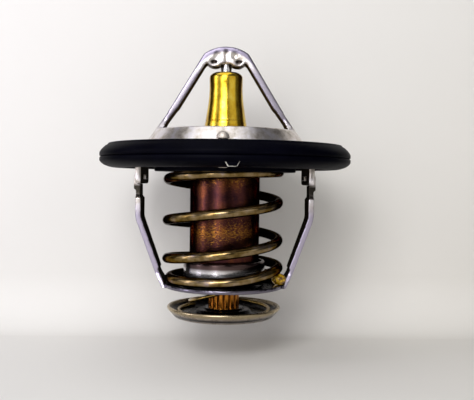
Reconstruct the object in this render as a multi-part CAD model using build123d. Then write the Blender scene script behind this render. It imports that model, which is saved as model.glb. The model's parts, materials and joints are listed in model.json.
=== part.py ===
"""Wax-element engine thermostat with a poppet valve, a bypass valve and a jiggle valve.

The part stands on its axis, Z, with the piston up. Z = 0 is the plane where the two flange
plates meet inside the rubber gasket, and the origin is on the axis. Lengths are millimetres.
"""
from build123d import *
import math
import os

os.makedirs("parts", exist_ok=True)

# ---------------------------------------------------------------- driving dimensions
# Clearances
running_gap = 0.08          # radial, piston in its guide and disc on its stem
staked_gap = 0.03           # radial, between pieces that are staked or crimped together
seat_gap = 0.05             # axial, between the closed valve rubber and its seat

# Stamped stainless flange, cone and arch, one sheet
frame_sheet = 1.1
vent_shelf = 3.4            # flat of the flange between the cone's foot and the gasket's lips
cone_top_r = 15.75
cone_top_z = 6.2
cone_root_radius = 0.6
arch_peak_z = 24.75
arch_shoulder_x = 5.0
arch_shoulder_z = 23.1
arch_shoulder_radius = 1.6
arm_bend_x = 12.42          # where a channel arm meets its plain root
arm_bend_z = 10.9
arch_width = 5.2
arch_root_width = 9.0       # where an arm spreads into the cone
channel_depth = 1.5
channel_wall = 0.9
crown_lobe_x = 2.55
crown_lobe_r = 2.3
crown_lobe_z = 22.65
crown_core_half = 1.75
crown_crease_width = 0.7
crown_crease_depth = 0.5
crown_dimple_r = 1.15
crown_dimple_depth = 0.35
crown_dimple_x = 1.9
crown_dent_x = 2.75         # second, shallower dent below and outside each dimple
crown_dent_drop = 1.25
crown_dent_r = 1.2
crown_dent_depth = 0.4
channel_run_out = 2.0       # height over which the channel's edges run out above the roots
channel_swell = 0.45

# Lower flange plate with the valve port and the two ears
seat_sheet = 1.3
port_gap = 0.5              # radial, round the valve's upright wall
ear_inset = 3.35             # from the gasket's lips in to the ears' outer faces
ear_half_width = 7.9
ear_drop = 4.6              # below the plate's underside
ear_slot_half_width = 2.8
ear_slot_rise = 1.05        # from the ear's lower edge up to the slot
ear_corner_radius = 1.0

# Gasket
gasket_r = 28.0
gasket_top_z = 3.0
gasket_bottom_z = -2.4
gasket_rim_depth = 2.4      # rubber past the flange's edge
gasket_lip_width = 5.3      # rim to the lips' inner edge
gasket_lip_chamfer = 0.5
gasket_land = 0.95          # half height of the cylindrical rim
gasket_groove_depth = 0.35
gasket_groove_half = 0.22
gasket_bead_inset = 1.8     # rim to the step moulded round the upper face
gasket_bead_height = 0.3
gasket_heel = 3.4           # rim to where the lower face turns flat
gasket_upper_swell = 0.38   # how far the rounded nose swells past straight bevels
gasket_lower_swell = 0.42
gasket_lug_x = 1.37         # locating lug under the front of the ring
gasket_lug_top_width = 2.95
gasket_lug_bottom_width = 1.6
gasket_lug_inset = 0.55      # rim to the lug's outer face
gasket_lug_depth = 2.0

# Lower frame, one stamping: floor, collar and two hooked legs
leg_sheet = 1.0
floor_margin = 1.35         # from the middle of the spring's end coil out to the floor's edge
floor_top_z = -28.0
floor_sheet = 0.9
collar_r = 9.2
collar_height = 5.1
leg_neck_half_width = 2.6
leg_neck_height = 2.3
leg_width = 8.0
leg_knee_width = 5.8
leg_foot_width = 9.0
leg_channel_depth = 1.3
leg_edge_width = 0.8
leg_knee_out = 1.75          # past the floor's edge
leg_knee_z = -25.8
leg_bend_z = -13.5
leg_foot_out = 0.1
leg_bend_radius = 5.0
leg_shoulder_taper = 0.7
tongue_half_width = 2.6
tongue_sheet = 0.9
hook_reach = 0.45           # past the ear's inner face
leg_joggle = 0.45            # the leg's outer face stands this far outside the ear's

# Piston
piston_r = 1.25
piston_top_z = 23.4
piston_bottom_z = -12.0

# Brass guide
guide_top_z = 19.3
guide_tip_r = 2.4
guide_shoulder_r = 3.78
guide_waist_r = 3.72
guide_taper_r = 4.22
guide_base_r = 4.82
guide_nose_height = 0.8
guide_waist_drop = 3.4      # drops are measured from the guide's top
guide_taper_drop = 8.5
guide_skirt_drop = 12.5
guide_groove_drop = 11.0
guide_groove_width = 0.3
guide_hub_r = 5.2
guide_flange_r = 6.9
guide_flange_height = 1.8
guide_seal_z = 3.4
guide_seal_height = 1.5
guide_seal_r = 2.25

# Copper wax capsule
capsule_r = 7.87
capsule_wall = 0.9
capsule_bottom_z = -27.0
capsule_floor = 1.9
capsule_corner_radius = 0.9
crimp_inner_r = 5.6
sleeve_r = 3.0
sleeve_bottom_z = -18.0
sleeve_flange_height = 0.8
backup_washer_height = 0.9

# Main valve
valve_sheet = 0.9
valve_rim_r = 15.2
valve_rim_width = 0.9       # from the upright wall out to the rim's edge
valve_rubber_cover = 0.7    # rubber past the rim's edge
valve_rubber_skin = 0.4
valve_rim_drop = 1.65
valve_collar_r = 7.2
valve_collar_height = 1.0

# Main spring
main_wire = 2.2
main_end_gap = 0.05         # radial, the end coil inside the valve's upright wall
main_swell = 0.25           # the open coils stand this far outside the closed end coils
main_turns = 4.4
main_drift = 0.4            # the open coils stand this far to -X of the axis
main_start_angle = -17.0

# Bypass valve
stem_r = 3.5
stem_flutes = 16
flute_r = 0.32
stem_spigot_r = 2.4
stem_spigot_length = 1.3
stem_bottom_gap = 0.15
disc_sheet = 0.8
disc_r = 12.8
disc_bottom_z = -35.6
disc_trough_r = 11.0
disc_hub_r = 5.6
disc_hub_rise = 0.8
disc_rim_rise = 1.6
disc_washer_r = 4.4
disc_washer_height = 0.4
clip_r = 4.5
clip_height = 0.45
clip_groove_depth = 0.6
bypass_wire = 0.9
bypass_top_r = 4.6
bypass_bottom_r = 10.2
bypass_turns = 2.0
bypass_start_angle = 133.0

# Jiggle valve
jiggle_x = -0.5
jiggle_shank_r = 0.6
jiggle_bore_r = 0.75
jiggle_bush_r = 1.25
jiggle_bush_top_z = 3.3
jiggle_spigot_r = 1.0
jiggle_head_r = 1.3
jiggle_head_height = 1.45
jiggle_weight_top_r = 1.6
jiggle_weight_bottom_r = 0.9
jiggle_weight_height = 1.0
jiggle_weight_drop = 0.15   # below the seat plate's underside at rest
jiggle_hole_r = 1.8

# ---------------------------------------------------------------- worked-out places
valve_wall_r = valve_rim_r - valve_rim_width
valve_rubber_r = valve_rim_r + valve_rubber_cover
port_r = valve_wall_r + port_gap
main_end_r = valve_wall_r - valve_sheet - main_end_gap - main_wire / 2
main_mean_r = main_end_r + main_swell
floor_r = main_end_r + floor_margin
flange_r = gasket_r - gasket_rim_depth
gasket_lip_r = gasket_r - gasket_lip_width
cone_foot_r = gasket_lip_r - vent_shelf
ear_outer_x = gasket_lip_r - ear_inset
jiggle_y = -math.sqrt(((cone_foot_r + gasket_lip_r) / 2) ** 2 - jiggle_x ** 2)
leg_knee_x = floor_r + leg_knee_out
leg_foot_x = floor_r + leg_foot_out
guide_nose_z = guide_top_z - guide_nose_height
guide_waist_z = guide_top_z - guide_waist_drop
guide_taper_z = guide_top_z - guide_taper_drop
guide_skirt_z = guide_top_z - guide_skirt_drop
guide_groove_z = guide_top_z - guide_groove_drop
root_slope = (cone_top_r - arm_bend_x) / (arm_bend_z - cone_top_z)
seat_bottom_z = -seat_sheet
ear_inner_x = ear_outer_x - seat_sheet
ear_bottom_z = seat_bottom_z - ear_drop
slot_bottom_z = ear_bottom_z + ear_slot_rise
slot_top_z = slot_bottom_z + leg_sheet + seat_gap
floor_bottom_z = floor_top_z - floor_sheet
collar_top_z = floor_top_z + collar_height
leg_outer_x = ear_outer_x + leg_joggle
valve_rubber_top_z = seat_bottom_z - seat_gap
valve_rim_top_z = valve_rubber_top_z - valve_rubber_skin
valve_top_z = valve_rim_top_z - valve_sheet + valve_rim_drop
valve_bottom_z = valve_top_z - valve_sheet
guide_flange_top_z = valve_bottom_z - capsule_wall
guide_flange_bottom_z = guide_flange_top_z - guide_flange_height
sleeve_flange_bottom_z = guide_flange_bottom_z - sleeve_flange_height
piston_bore_r = piston_r + running_gap
disc_trough_z = disc_bottom_z + disc_sheet
disc_hub_top_z = disc_trough_z + disc_hub_rise
disc_bore_r = stem_r + running_gap
stem_bottom_z = disc_bottom_z + stem_bottom_gap


# ---------------------------------------------------------------- shared shapes
def turned(*outline):
    """Solid of revolution about Z of a closed outline of (radius, height) points."""
    points = [(r, 0, z) for r, z in outline]
    return revolve(make_face(Polyline(*points, close=True)), Axis.Z)


def tube(outer_r, inner_r, bottom_z, top_z):
    """Plain ring between two heights."""
    ring = Circle(outer_r) - Circle(inner_r)
    return Pos(0, 0, bottom_z) * extrude(ring, top_z - bottom_z)


def rod(radius, bottom_z, top_z):
    """Plain round bar between two heights."""
    return Pos(0, 0, bottom_z) * extrude(Circle(radius), top_z - bottom_z)


def block(x0, x1, y0, y1, z0, z1):
    """Rectangular block between two corners."""
    centre = Pos((x0 + x1) / 2, (y0 + y1) / 2, (z0 + z1) / 2)
    return centre * Box(x1 - x0, y1 - y0, z1 - z0)


def across(face, y0, y1):
    """A face drawn in the XZ plane, made solid from y0 to y1."""
    return Pos(0, y1, 0) * extrude(face, amount=y1 - y0, dir=(0, -1, 0))


def side_face(*points):
    """Closed face in the XZ plane through (x, z) points."""
    return make_face(Polyline(*[(x, 0, z) for x, z in points], close=True))


def swelled_line(start, end, swell):
    """Arc between two points of the XZ plane that bows to the right of its chord by swell."""
    run = end[0] - start[0]
    rise = end[2] - start[2]
    chord = math.hypot(run, rise)
    middle = ((start[0] + end[0]) / 2 + swell * -rise / chord, 0,
              (start[2] + end[2]) / 2 + swell * run / chord)
    return ThreePointArc(start, middle, end)


def both_sides(shape):
    """A piece on the +X side with its mirror image on the -X side."""
    return shape + mirror(shape, Plane.YZ)


def eased(stops, at):
    """Smooth, never overshooting curve through (place, value) stops, read at one place."""
    places = [place for place, value in stops]
    values = [value for place, value in stops]
    slopes = [(values[i + 1] - values[i]) / (places[i + 1] - places[i]) for i in range(len(stops) - 1)]
    tangents = [0.0]
    for before, after in zip(slopes, slopes[1:]):
        tangents.append(2 * before * after / (before + after) if before * after > 0 else 0.0)
    tangents.append(0.0)
    part = next((i for i in range(len(slopes)) if at <= places[i + 1]), len(slopes) - 1)
    run = places[part + 1] - places[part]
    t = min(max((at - places[part]) / run, 0), 1)
    start = values[part] * (1 + 2 * t) + run * tangents[part] * t
    end = values[part + 1] * (3 - 2 * t) - run * tangents[part + 1] * (1 - t)
    return start * (1 - t) ** 2 + end * t ** 2


def coil(wire, turns, place_at, start_angle):
    """Round wire wound right-handed; place_at gives centre x, radius and height by turns wound."""
    steps = math.ceil(turns * 16)
    points = []
    for step in range(steps + 1):
        wound = turns * step / steps
        angle = math.radians(start_angle + 360 * wound)
        centre_x, radius, height = place_at(wound)
        points.append((centre_x + radius * math.cos(angle), radius * math.sin(angle), height))
    path = Spline(*points)
    section = Plane(origin=path @ 0, z_dir=path % 0) * Circle(wire / 2)
    return sweep(section, path=path, is_frenet=True)


# ---------------------------------------------------------------- upper frame
def arch_region(inset):
    """Area under the arch's outer line, drawn in by an inset, in the XZ plane."""
    base_x = arm_bend_x + root_slope * arm_bend_z
    sides = Polyline((-arch_shoulder_x, 0, arch_shoulder_z), (-arm_bend_x, 0, arm_bend_z), (-base_x, 0, 0),
                     (base_x, 0, 0), (arm_bend_x, 0, arm_bend_z), (arch_shoulder_x, 0, arch_shoulder_z))
    crown = ThreePointArc((arch_shoulder_x, 0, arch_shoulder_z), (0, 0, arch_peak_z),
                          (-arch_shoulder_x, 0, arch_shoulder_z))
    region = make_face([sides, crown])
    region = fillet(region.vertices().group_by(Axis.Z)[-1], arch_shoulder_radius)
    if inset:
        region = offset(region, amount=-inset, kind=Kind.INTERSECTION)
    return region


def arm_band():
    """Flat web of the channel arms and the crown."""
    half = arch_width / 2
    band = across(arch_region(0) - arch_region(frame_sheet), -half, half)
    return band & block(-flange_r, flange_r, -half, half, arm_bend_z, arch_peak_z + 1)


def arm_roots():
    """Plain strips that rise from the cone in its own round form and narrow to the channels."""
    wall = frame_sheet * math.hypot(1, root_slope)
    low_z = cone_top_z - 0.5
    high_z = arm_bend_z + 0.4
    low_r = cone_top_r + 0.5 * root_slope
    high_r = cone_top_r - (high_z - cone_top_z) * root_slope
    shell = turned((low_r - wall, low_z), (low_r, low_z), (high_r, high_z), (high_r - wall, high_z))
    half = arch_width / 2
    half_root = arch_root_width / 2
    spread = ThreePointArc((0, half_root, cone_top_z), (0, half + 0.45, cone_top_z + 1.1),
                           (0, half, cone_top_z + 3.2))
    spread_mirrored = ThreePointArc((0, -half, cone_top_z + 3.2), (0, -half - 0.45, cone_top_z + 1.1),
                                    (0, -half_root, cone_top_z))
    top = Polyline((0, half, cone_top_z + 3.2), (0, half, high_z), (0, -half, high_z),
                   (0, -half, cone_top_z + 3.2))
    foot = Polyline((0, -half_root, cone_top_z), (0, -half_root, low_z), (0, half_root, low_z),
                    (0, half_root, cone_top_z))
    outline = make_face([spread, top, spread_mirrored, foot])
    return shell & extrude(outline, amount=flange_r, both=True, dir=(1, 0, 0))


def run_out_region():
    """Where a channel may have edges: they curve away to nothing just above the plain roots."""
    arm_slope = (arm_bend_x - arch_shoulder_x) / (arch_shoulder_z - arm_bend_z)
    lean = math.hypot(1, arm_slope)
    high_z = arm_bend_z + channel_run_out
    high_x = arm_bend_x - arm_slope * channel_run_out - channel_depth * lean
    low_z = arm_bend_z - 0.8
    low_x = arm_bend_x - frame_sheet * 0.4
    wide_x = cone_foot_r
    right = swelled_line((high_x, 0, high_z), (low_x, 0, low_z), -channel_swell)
    left = swelled_line((-low_x, 0, low_z), (-high_x, 0, high_z), -channel_swell)
    around = Polyline((low_x, 0, low_z), (wide_x, 0, low_z), (wide_x, 0, arch_peak_z + 1),
                      (-wide_x, 0, arch_peak_z + 1), (-wide_x, 0, low_z), (-low_x, 0, low_z))
    return make_face([right, around, left, Line((-high_x, 0, high_z), (high_x, 0, high_z))])


def channel_skirts():
    """Turned-in edges that stiffen the arms, with two lobes under the crown."""
    band = arch_region(0) - arch_region(channel_depth)
    above = run_out_region()
    lobes = Sketch()
    for side in (-1, 1):
        place = Plane(origin=(side * crown_lobe_x, 0, crown_lobe_z), z_dir=(0, -1, 0))
        lobes += place * Circle(crown_lobe_r)
    web = side_face((-crown_lobe_x, crown_lobe_z - crown_lobe_r * 0.7),
                    (crown_lobe_x, crown_lobe_z - crown_lobe_r * 0.7),
                    (crown_lobe_x, arch_shoulder_z), (-crown_lobe_x, arch_shoulder_z))
    face = (band & above) + ((lobes + web) & arch_region(0))
    outside = arch_width / 2
    near = across(face, -outside, -outside + channel_wall)
    far = across(face, outside - channel_wall, outside)
    return near + far


def crown_pinch():
    """Metal squeezed round the piston's head, between the two lobes."""
    half = crown_core_half
    bottom = crown_lobe_z - crown_lobe_r * 0.7
    core = block(-half, half, -arch_width / 2 + 0.1, arch_width / 2 - 0.1, bottom, arch_shoulder_z)
    return fillet(core.edges().filter_by(Axis.Z), 0.4)


def make_upper_frame():
    """Flange, cone, two channel arms and the pinched crown, pressed from one sheet."""
    slope = (cone_foot_r - cone_top_r) / (cone_top_z - frame_sheet)
    wall = frame_sheet * math.hypot(1, slope)
    shell = turned((cone_foot_r + slope * frame_sheet - wall, 0), (flange_r, 0),
                   (flange_r, frame_sheet), (cone_foot_r, frame_sheet),
                   (cone_top_r, cone_top_z), (cone_top_r - wall, cone_top_z))
    roots = shell.edges().filter_by(GeomType.CIRCLE).filter_by(
        lambda edge: abs(edge.radius - cone_foot_r) < 1e-3)
    shell = fillet(roots, cone_root_radius)
    body = shell + arm_roots() + arm_band() + channel_skirts() + crown_pinch()
    for side in (-1, 1):
        outside = side * arch_width / 2
        crease = block(-crown_crease_width / 2, crown_crease_width / 2,
                       outside - crown_crease_depth, outside + crown_crease_depth,
                       crown_lobe_z - crown_lobe_r, crown_lobe_z + crown_lobe_r * 0.55)
        body -= crease
        dimple_y = outside + side * (crown_dimple_r - crown_dimple_depth)
        dent_y = outside + side * (crown_dent_r - crown_dent_depth)
        dent_z = crown_lobe_z - crown_dent_drop
        for across_side in (-1, 1):
            body -= Pos(across_side * crown_dimple_x, dimple_y, crown_lobe_z) * Sphere(crown_dimple_r)
            body -= Pos(across_side * crown_dent_x, dent_y, dent_z) * Sphere(crown_dent_r)
    body -= rod(piston_r + staked_gap, cone_top_z, piston_top_z)
    body -= Pos(jiggle_x, jiggle_y, 0) * rod(jiggle_spigot_r + staked_gap, -1, frame_sheet + 1)
    return body


# ---------------------------------------------------------------- seat plate and gasket
def make_seat_plate():
    """Lower flange plate: the valve port, and two slotted ears bent down from windows."""
    plate = tube(flange_r, port_r, seat_bottom_z, 0)
    ear = block(ear_inner_x, ear_outer_x, -ear_half_width, ear_half_width, ear_bottom_z, 0)
    low_corners = ear.edges().filter_by(Axis.X).group_by(Axis.Z)[0]
    ear = fillet(low_corners, ear_corner_radius)
    ear -= block(ear_inner_x - 1, ear_outer_x + 1, -ear_slot_half_width, ear_slot_half_width,
                 slot_bottom_z, slot_top_z)
    window = block(ear_outer_x, ear_outer_x + ear_drop, -ear_half_width, ear_half_width,
                   seat_bottom_z - 1, 1)
    plate = plate - both_sides(window) + both_sides(ear)
    return plate - Pos(jiggle_x, jiggle_y, 0) * rod(jiggle_hole_r, seat_bottom_z - 1, 1)


def gasket_lug():
    """Locating lug under the front of the ring, narrower at its foot."""
    half_top = gasket_lug_top_width / 2
    half_bottom = gasket_lug_bottom_width / 2
    face = side_face((gasket_lug_x - half_top, -gasket_land), (gasket_lug_x + half_top, -gasket_land),
                     (gasket_lug_x + half_bottom, gasket_bottom_z),
                     (gasket_lug_x - half_bottom, gasket_bottom_z))
    front_y = gasket_lug_inset - gasket_r
    return across(face, front_y, front_y + gasket_lug_depth)


def make_gasket():
    """Moulded ring whose two lips grip both plates, with a parting groove round its rim."""
    bead_r = gasket_r - gasket_bead_inset
    bead_top_z = gasket_top_z - gasket_bead_height
    heel_r = gasket_r - gasket_heel
    chamfer = gasket_lip_chamfer
    upper = swelled_line((bead_r, 0, bead_top_z), (gasket_r, 0, gasket_land), gasket_upper_swell)
    groove = Polyline((gasket_r, 0, gasket_land), (gasket_r, 0, gasket_groove_half),
                      (gasket_r - gasket_groove_depth, 0, 0), (gasket_r, 0, -gasket_groove_half),
                      (gasket_r, 0, -gasket_land))
    lower = swelled_line((gasket_r, 0, -gasket_land), (heel_r, 0, gasket_bottom_z), gasket_lower_swell)
    throat = Polyline((heel_r, 0, gasket_bottom_z), (gasket_lip_r, 0, gasket_bottom_z),
                      (gasket_lip_r, 0, seat_bottom_z), (flange_r, 0, seat_bottom_z),
                      (flange_r, 0, frame_sheet), (gasket_lip_r, 0, frame_sheet),
                      (gasket_lip_r, 0, gasket_top_z - chamfer), (gasket_lip_r + chamfer, 0, gasket_top_z),
                      (bead_r - chamfer, 0, gasket_top_z), (bead_r, 0, bead_top_z))
    return revolve(make_face([upper, groove, lower, throat]), Axis.Z) + gasket_lug()


# ---------------------------------------------------------------- lower frame
def leg_region(inset):
    """Area inside the +X leg's outer line, drawn in by an inset, in the XZ plane."""
    outline = Polyline((leg_outer_x, 0, 0), (leg_outer_x, 0, leg_bend_z),
                       (leg_knee_x, 0, leg_knee_z), (leg_foot_x, 0, floor_bottom_z),
                       (0, 0, floor_bottom_z), (0, 0, 0), close=True)
    region = make_face(outline)
    bends = region.vertices().filter_by(
        lambda corner: corner.X > leg_knee_x - 0.1 and leg_knee_z - 0.1 < corner.Z < leg_bend_z + 0.1)
    region = fillet(bends, leg_bend_radius)
    if inset:
        region = offset(region, amount=-inset, kind=Kind.INTERSECTION)
    return region


def make_leg():
    """One hooked leg on the +X side: joggled tongue, neck, shallow channel, spreading foot."""
    reach_y = leg_foot_width
    band = across(leg_region(0) - leg_region(leg_sheet), -reach_y, reach_y)
    neck_top_z = ear_bottom_z - staked_gap
    neck_bottom_z = neck_top_z - leg_neck_height
    shoulder_z = neck_bottom_z - leg_shoulder_taper
    right = [(leg_neck_half_width, neck_top_z), (leg_neck_half_width, neck_bottom_z),
             (leg_width / 2, shoulder_z), (leg_knee_width / 2, leg_knee_z),
             (leg_foot_width / 2, floor_bottom_z)]
    outline = right + [(-y, z) for y, z in reversed(right)]
    front = make_face(Polyline(*[(0, y, z) for y, z in outline], close=True))
    window = Pos(collar_r, 0, 0) * extrude(front, amount=leg_outer_x, dir=(1, 0, 0))
    strip = band & window
    edges = front - offset(front, amount=-leg_edge_width, kind=Kind.INTERSECTION)
    edge_window = Pos(collar_r, 0, 0) * extrude(edges, amount=leg_outer_x, dir=(1, 0, 0))
    sides = across(leg_region(0) - leg_region(leg_channel_depth), -reach_y, reach_y)
    limits = block(collar_r, leg_outer_x + 1, -reach_y, reach_y, leg_knee_z + 1.2, shoulder_z)
    skirts = sides & edge_window & limits
    tongue_x = ear_outer_x + staked_gap
    slot_level_z = slot_bottom_z + leg_sheet
    tongue = block(tongue_x, tongue_x + tongue_sheet, -tongue_half_width, tongue_half_width,
                   neck_top_z - 1.2, slot_level_z)
    hook = block(ear_inner_x - hook_reach, tongue_x + tongue_sheet, -tongue_half_width, tongue_half_width,
                 slot_bottom_z, slot_level_z)
    inside_floor = rod(floor_r - floor_sheet / 2, floor_bottom_z - 1, 0)
    return (strip - inside_floor) + skirts + tongue + hook


def make_lower_frame():
    """Floor with an upstanding collar round the capsule, and two legs hooked into the ears."""
    bore_r = collar_r - leg_sheet
    dish = turned((bore_r, floor_bottom_z), (floor_r, floor_bottom_z), (floor_r, floor_top_z),
                  (collar_r, floor_top_z), (collar_r, collar_top_z), (bore_r, collar_top_z))
    corner = dish.edges().filter_by(GeomType.CIRCLE).filter_by(
        lambda edge: abs(edge.radius - collar_r) < 1e-3 and edge.center().Z < floor_top_z + 0.1)
    dish = fillet(corner, 0.6)
    mouth = dish.edges().filter_by(GeomType.CIRCLE).filter_by(
        lambda edge: edge.center().Z > collar_top_z - 0.1)
    dish = fillet(mouth, leg_sheet * 0.4)
    legs = both_sides(make_leg())
    return dish + legs


# ---------------------------------------------------------------- piston and guide
def make_piston():
    """Polished steel pin, held in the crown, with a tapered tip inside the sleeve."""
    return turned((0, piston_bottom_z), (piston_r * 0.4, piston_bottom_z),
                  (piston_r, piston_bottom_z + 4), (piston_r, piston_top_z - 0.3),
                  (piston_r - 0.3, piston_top_z), (0, piston_top_z))


def make_guide():
    """Turned brass guide: rounded nose, waist, flared skirt, hub and crimped flange."""
    bore = piston_bore_r
    hub_z = valve_top_z + valve_collar_height
    washer_r = sleeve_r + staked_gap
    nose = swelled_line((guide_tip_r, 0, guide_top_z), (guide_shoulder_r, 0, guide_nose_z), 0.3)
    skirt = Spline((guide_shoulder_r, 0, guide_nose_z), (guide_waist_r, 0, guide_waist_z),
                   (guide_taper_r, 0, guide_taper_z), (guide_base_r, 0, guide_skirt_z))
    outside = Polyline((guide_base_r, 0, guide_skirt_z), (guide_base_r + 0.1, 0, hub_z + 1.2),
                       (guide_hub_r, 0, hub_z + 0.6), (guide_hub_r, 0, guide_flange_top_z),
                       (guide_flange_r, 0, guide_flange_top_z),
                       (guide_flange_r, 0, guide_flange_bottom_z),
                       (washer_r, 0, guide_flange_bottom_z),
                       (washer_r, 0, guide_flange_bottom_z + backup_washer_height),
                       (bore, 0, guide_flange_bottom_z + backup_washer_height))
    seal_top_z = guide_seal_z + guide_seal_height
    inside = Polyline((bore, 0, guide_flange_bottom_z + backup_washer_height), (bore, 0, guide_seal_z),
                      (guide_seal_r, 0, guide_seal_z), (guide_seal_r, 0, seal_top_z),
                      (bore, 0, seal_top_z), (bore, 0, guide_top_z), (guide_tip_r, 0, guide_top_z))
    body = revolve(make_face([nose, skirt, outside, inside]), Axis.Z)
    half = guide_groove_width / 2
    return body - tube(guide_base_r + 1, guide_base_r - 0.3, guide_groove_z - half, guide_groove_z + half)


def make_guide_seal():
    """Rubber ring in the guide's inner groove, round the piston."""
    half = guide_seal_height / 2
    return turned((piston_r + 0.03, guide_seal_z + half), (guide_seal_r - 0.5, guide_seal_z + staked_gap),
                  (guide_seal_r - staked_gap, guide_seal_z + staked_gap),
                  (guide_seal_r - staked_gap, guide_seal_z + guide_seal_height - staked_gap),
                  (guide_seal_r - 0.5, guide_seal_z + guide_seal_height - staked_gap))


# ---------------------------------------------------------------- capsule and its contents
def make_capsule():
    """Drawn copper cup, crimped over the guide's flange."""
    inner_r = capsule_r - capsule_wall
    cup = turned((0, capsule_bottom_z), (capsule_r, capsule_bottom_z), (capsule_r, valve_bottom_z),
                 (crimp_inner_r, valve_bottom_z), (crimp_inner_r, guide_flange_top_z + staked_gap),
                 (inner_r, guide_flange_top_z + staked_gap), (inner_r, capsule_bottom_z + capsule_floor),
                 (0, capsule_bottom_z + capsule_floor))
    rim = cup.edges().filter_by(GeomType.CIRCLE).filter_by(lambda edge: edge.radius > capsule_r - 1e-3)
    cup = fillet(rim, min(capsule_corner_radius, capsule_wall * 0.8))
    return cup - rod(stem_spigot_r + staked_gap, capsule_bottom_z - 1, capsule_bottom_z + stem_spigot_length)


def make_rubber_sleeve():
    """Rubber sleeve that the piston's tip works in, clamped under the guide."""
    clamp_r = capsule_r - capsule_wall - staked_gap
    return turned((0, sleeve_bottom_z), (sleeve_r, sleeve_bottom_z), (sleeve_r, sleeve_flange_bottom_z),
                  (clamp_r, sleeve_flange_bottom_z), (clamp_r, guide_flange_bottom_z),
                  (piston_bore_r, guide_flange_bottom_z), (piston_bore_r, sleeve_bottom_z + 1.2),
                  (0, sleeve_bottom_z + 1.2))


def make_backup_washer():
    """Plain washer that keeps the sleeve from creeping up the piston."""
    return tube(sleeve_r, piston_bore_r, guide_flange_bottom_z,
                guide_flange_bottom_z + backup_washer_height - staked_gap)


def make_wax_charge():
    """Wax that fills the capsule round the sleeve."""
    fill_r = capsule_r - capsule_wall - staked_gap
    hole_r = sleeve_r + staked_gap
    return turned((0, capsule_bottom_z + capsule_floor), (fill_r, capsule_bottom_z + capsule_floor),
                  (fill_r, sleeve_flange_bottom_z), (hole_r, sleeve_flange_bottom_z),
                  (hole_r, sleeve_bottom_z - staked_gap), (0, sleeve_bottom_z - staked_gap))


# ---------------------------------------------------------------- main valve
def make_valve_plate():
    """Hat-shaped valve plate with an upright wall and a flat rim."""
    inner_wall_r = valve_wall_r - valve_sheet
    rim_bottom_z = valve_rim_top_z - valve_sheet
    return turned((guide_hub_r + staked_gap, valve_bottom_z), (inner_wall_r, valve_bottom_z),
                  (inner_wall_r, rim_bottom_z), (valve_rim_r, rim_bottom_z),
                  (valve_rim_r, valve_rim_top_z), (valve_wall_r, valve_rim_top_z),
                  (valve_wall_r - 0.3, valve_top_z), (guide_hub_r + staked_gap, valve_top_z))


def make_valve_seal():
    """Rubber moulded round the valve plate's rim."""
    rim_bottom_z = valve_rim_top_z - valve_sheet
    skin = valve_rubber_skin
    root_r = valve_wall_r + staked_gap
    return turned((root_r, valve_rim_top_z), (root_r, valve_rubber_top_z),
                  (valve_rubber_r - 0.2, valve_rubber_top_z), (valve_rubber_r, valve_rubber_top_z - 0.2),
                  (valve_rubber_r, rim_bottom_z - skin + 0.2), (valve_rubber_r - 0.2, rim_bottom_z - skin),
                  (root_r - valve_sheet / 2, rim_bottom_z - skin), (root_r - valve_sheet / 2, rim_bottom_z),
                  (valve_rim_r, rim_bottom_z), (valve_rim_r, valve_rim_top_z))


def make_valve_collar():
    """Ring pressed on the guide's hub that holds the valve plate down."""
    ring = tube(valve_collar_r, guide_hub_r + staked_gap, valve_top_z, valve_top_z + valve_collar_height)
    top_edge = ring.edges().filter_by(GeomType.CIRCLE).sort_by(Axis.Z)[-2:]
    return chamfer(top_edge.filter_by(lambda edge: edge.radius > guide_hub_r + 0.5), 0.3)


def make_main_spring():
    """Compression spring: one flat coil on the floor, then open coils, closed under the plate."""
    low_z = floor_top_z + main_wire / 2
    rise = valve_bottom_z - main_wire / 2 - low_z
    over_end = main_wire + 0.1
    top = main_turns
    heights = [(0, 0), (0.55, 0), (0.78, 0.12 * over_end), (1, over_end), (top - 2.85, 0.18 * rise),
               (top - 2.35, 0.364 * rise), (top - 1.85, 0.537 * rise), (top - 1.35, 0.72 * rise),
               (top - 0.85, 0.925 * rise), (top - 0.6, 0.98 * rise), (top - 0.35, rise), (top, rise)]
    swells = [(0, 0), (0.8, 0), (1.4, 1), (top - 0.95, 1), (top - 0.6, 0), (top, 0)]

    def place_at(wound):
        swell = eased(swells, wound)
        radius = main_end_r + (main_mean_r - main_end_r) * swell
        return -main_drift * swell, radius, low_z + eased(heights, wound)

    return coil(main_wire, main_turns, place_at, main_start_angle)


# ---------------------------------------------------------------- bypass valve
def make_bypass_stem():
    """Fluted brass stem under the capsule, with a groove for the clip."""
    core_r = stem_r - clip_groove_depth
    clip_top_z = disc_hub_top_z - disc_sheet
    stem = turned((0, stem_bottom_z), (core_r, stem_bottom_z), (stem_r - 0.1, stem_bottom_z + 0.1),
                  (stem_r - 0.1, clip_top_z - clip_height), (core_r, clip_top_z - clip_height),
                  (core_r, clip_top_z), (stem_r, clip_top_z), (stem_r, capsule_bottom_z),
                  (stem_spigot_r, capsule_bottom_z), (stem_spigot_r, capsule_bottom_z + stem_spigot_length),
                  (0, capsule_bottom_z + stem_spigot_length))
    for number in range(stem_flutes):
        flute = Pos(stem_r + flute_r * 0.25, 0, 0) * rod(flute_r, clip_top_z + 0.1, capsule_bottom_z - 0.6)
        stem -= Rot(0, 0, 360 * number / stem_flutes) * flute
    return stem


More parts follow.
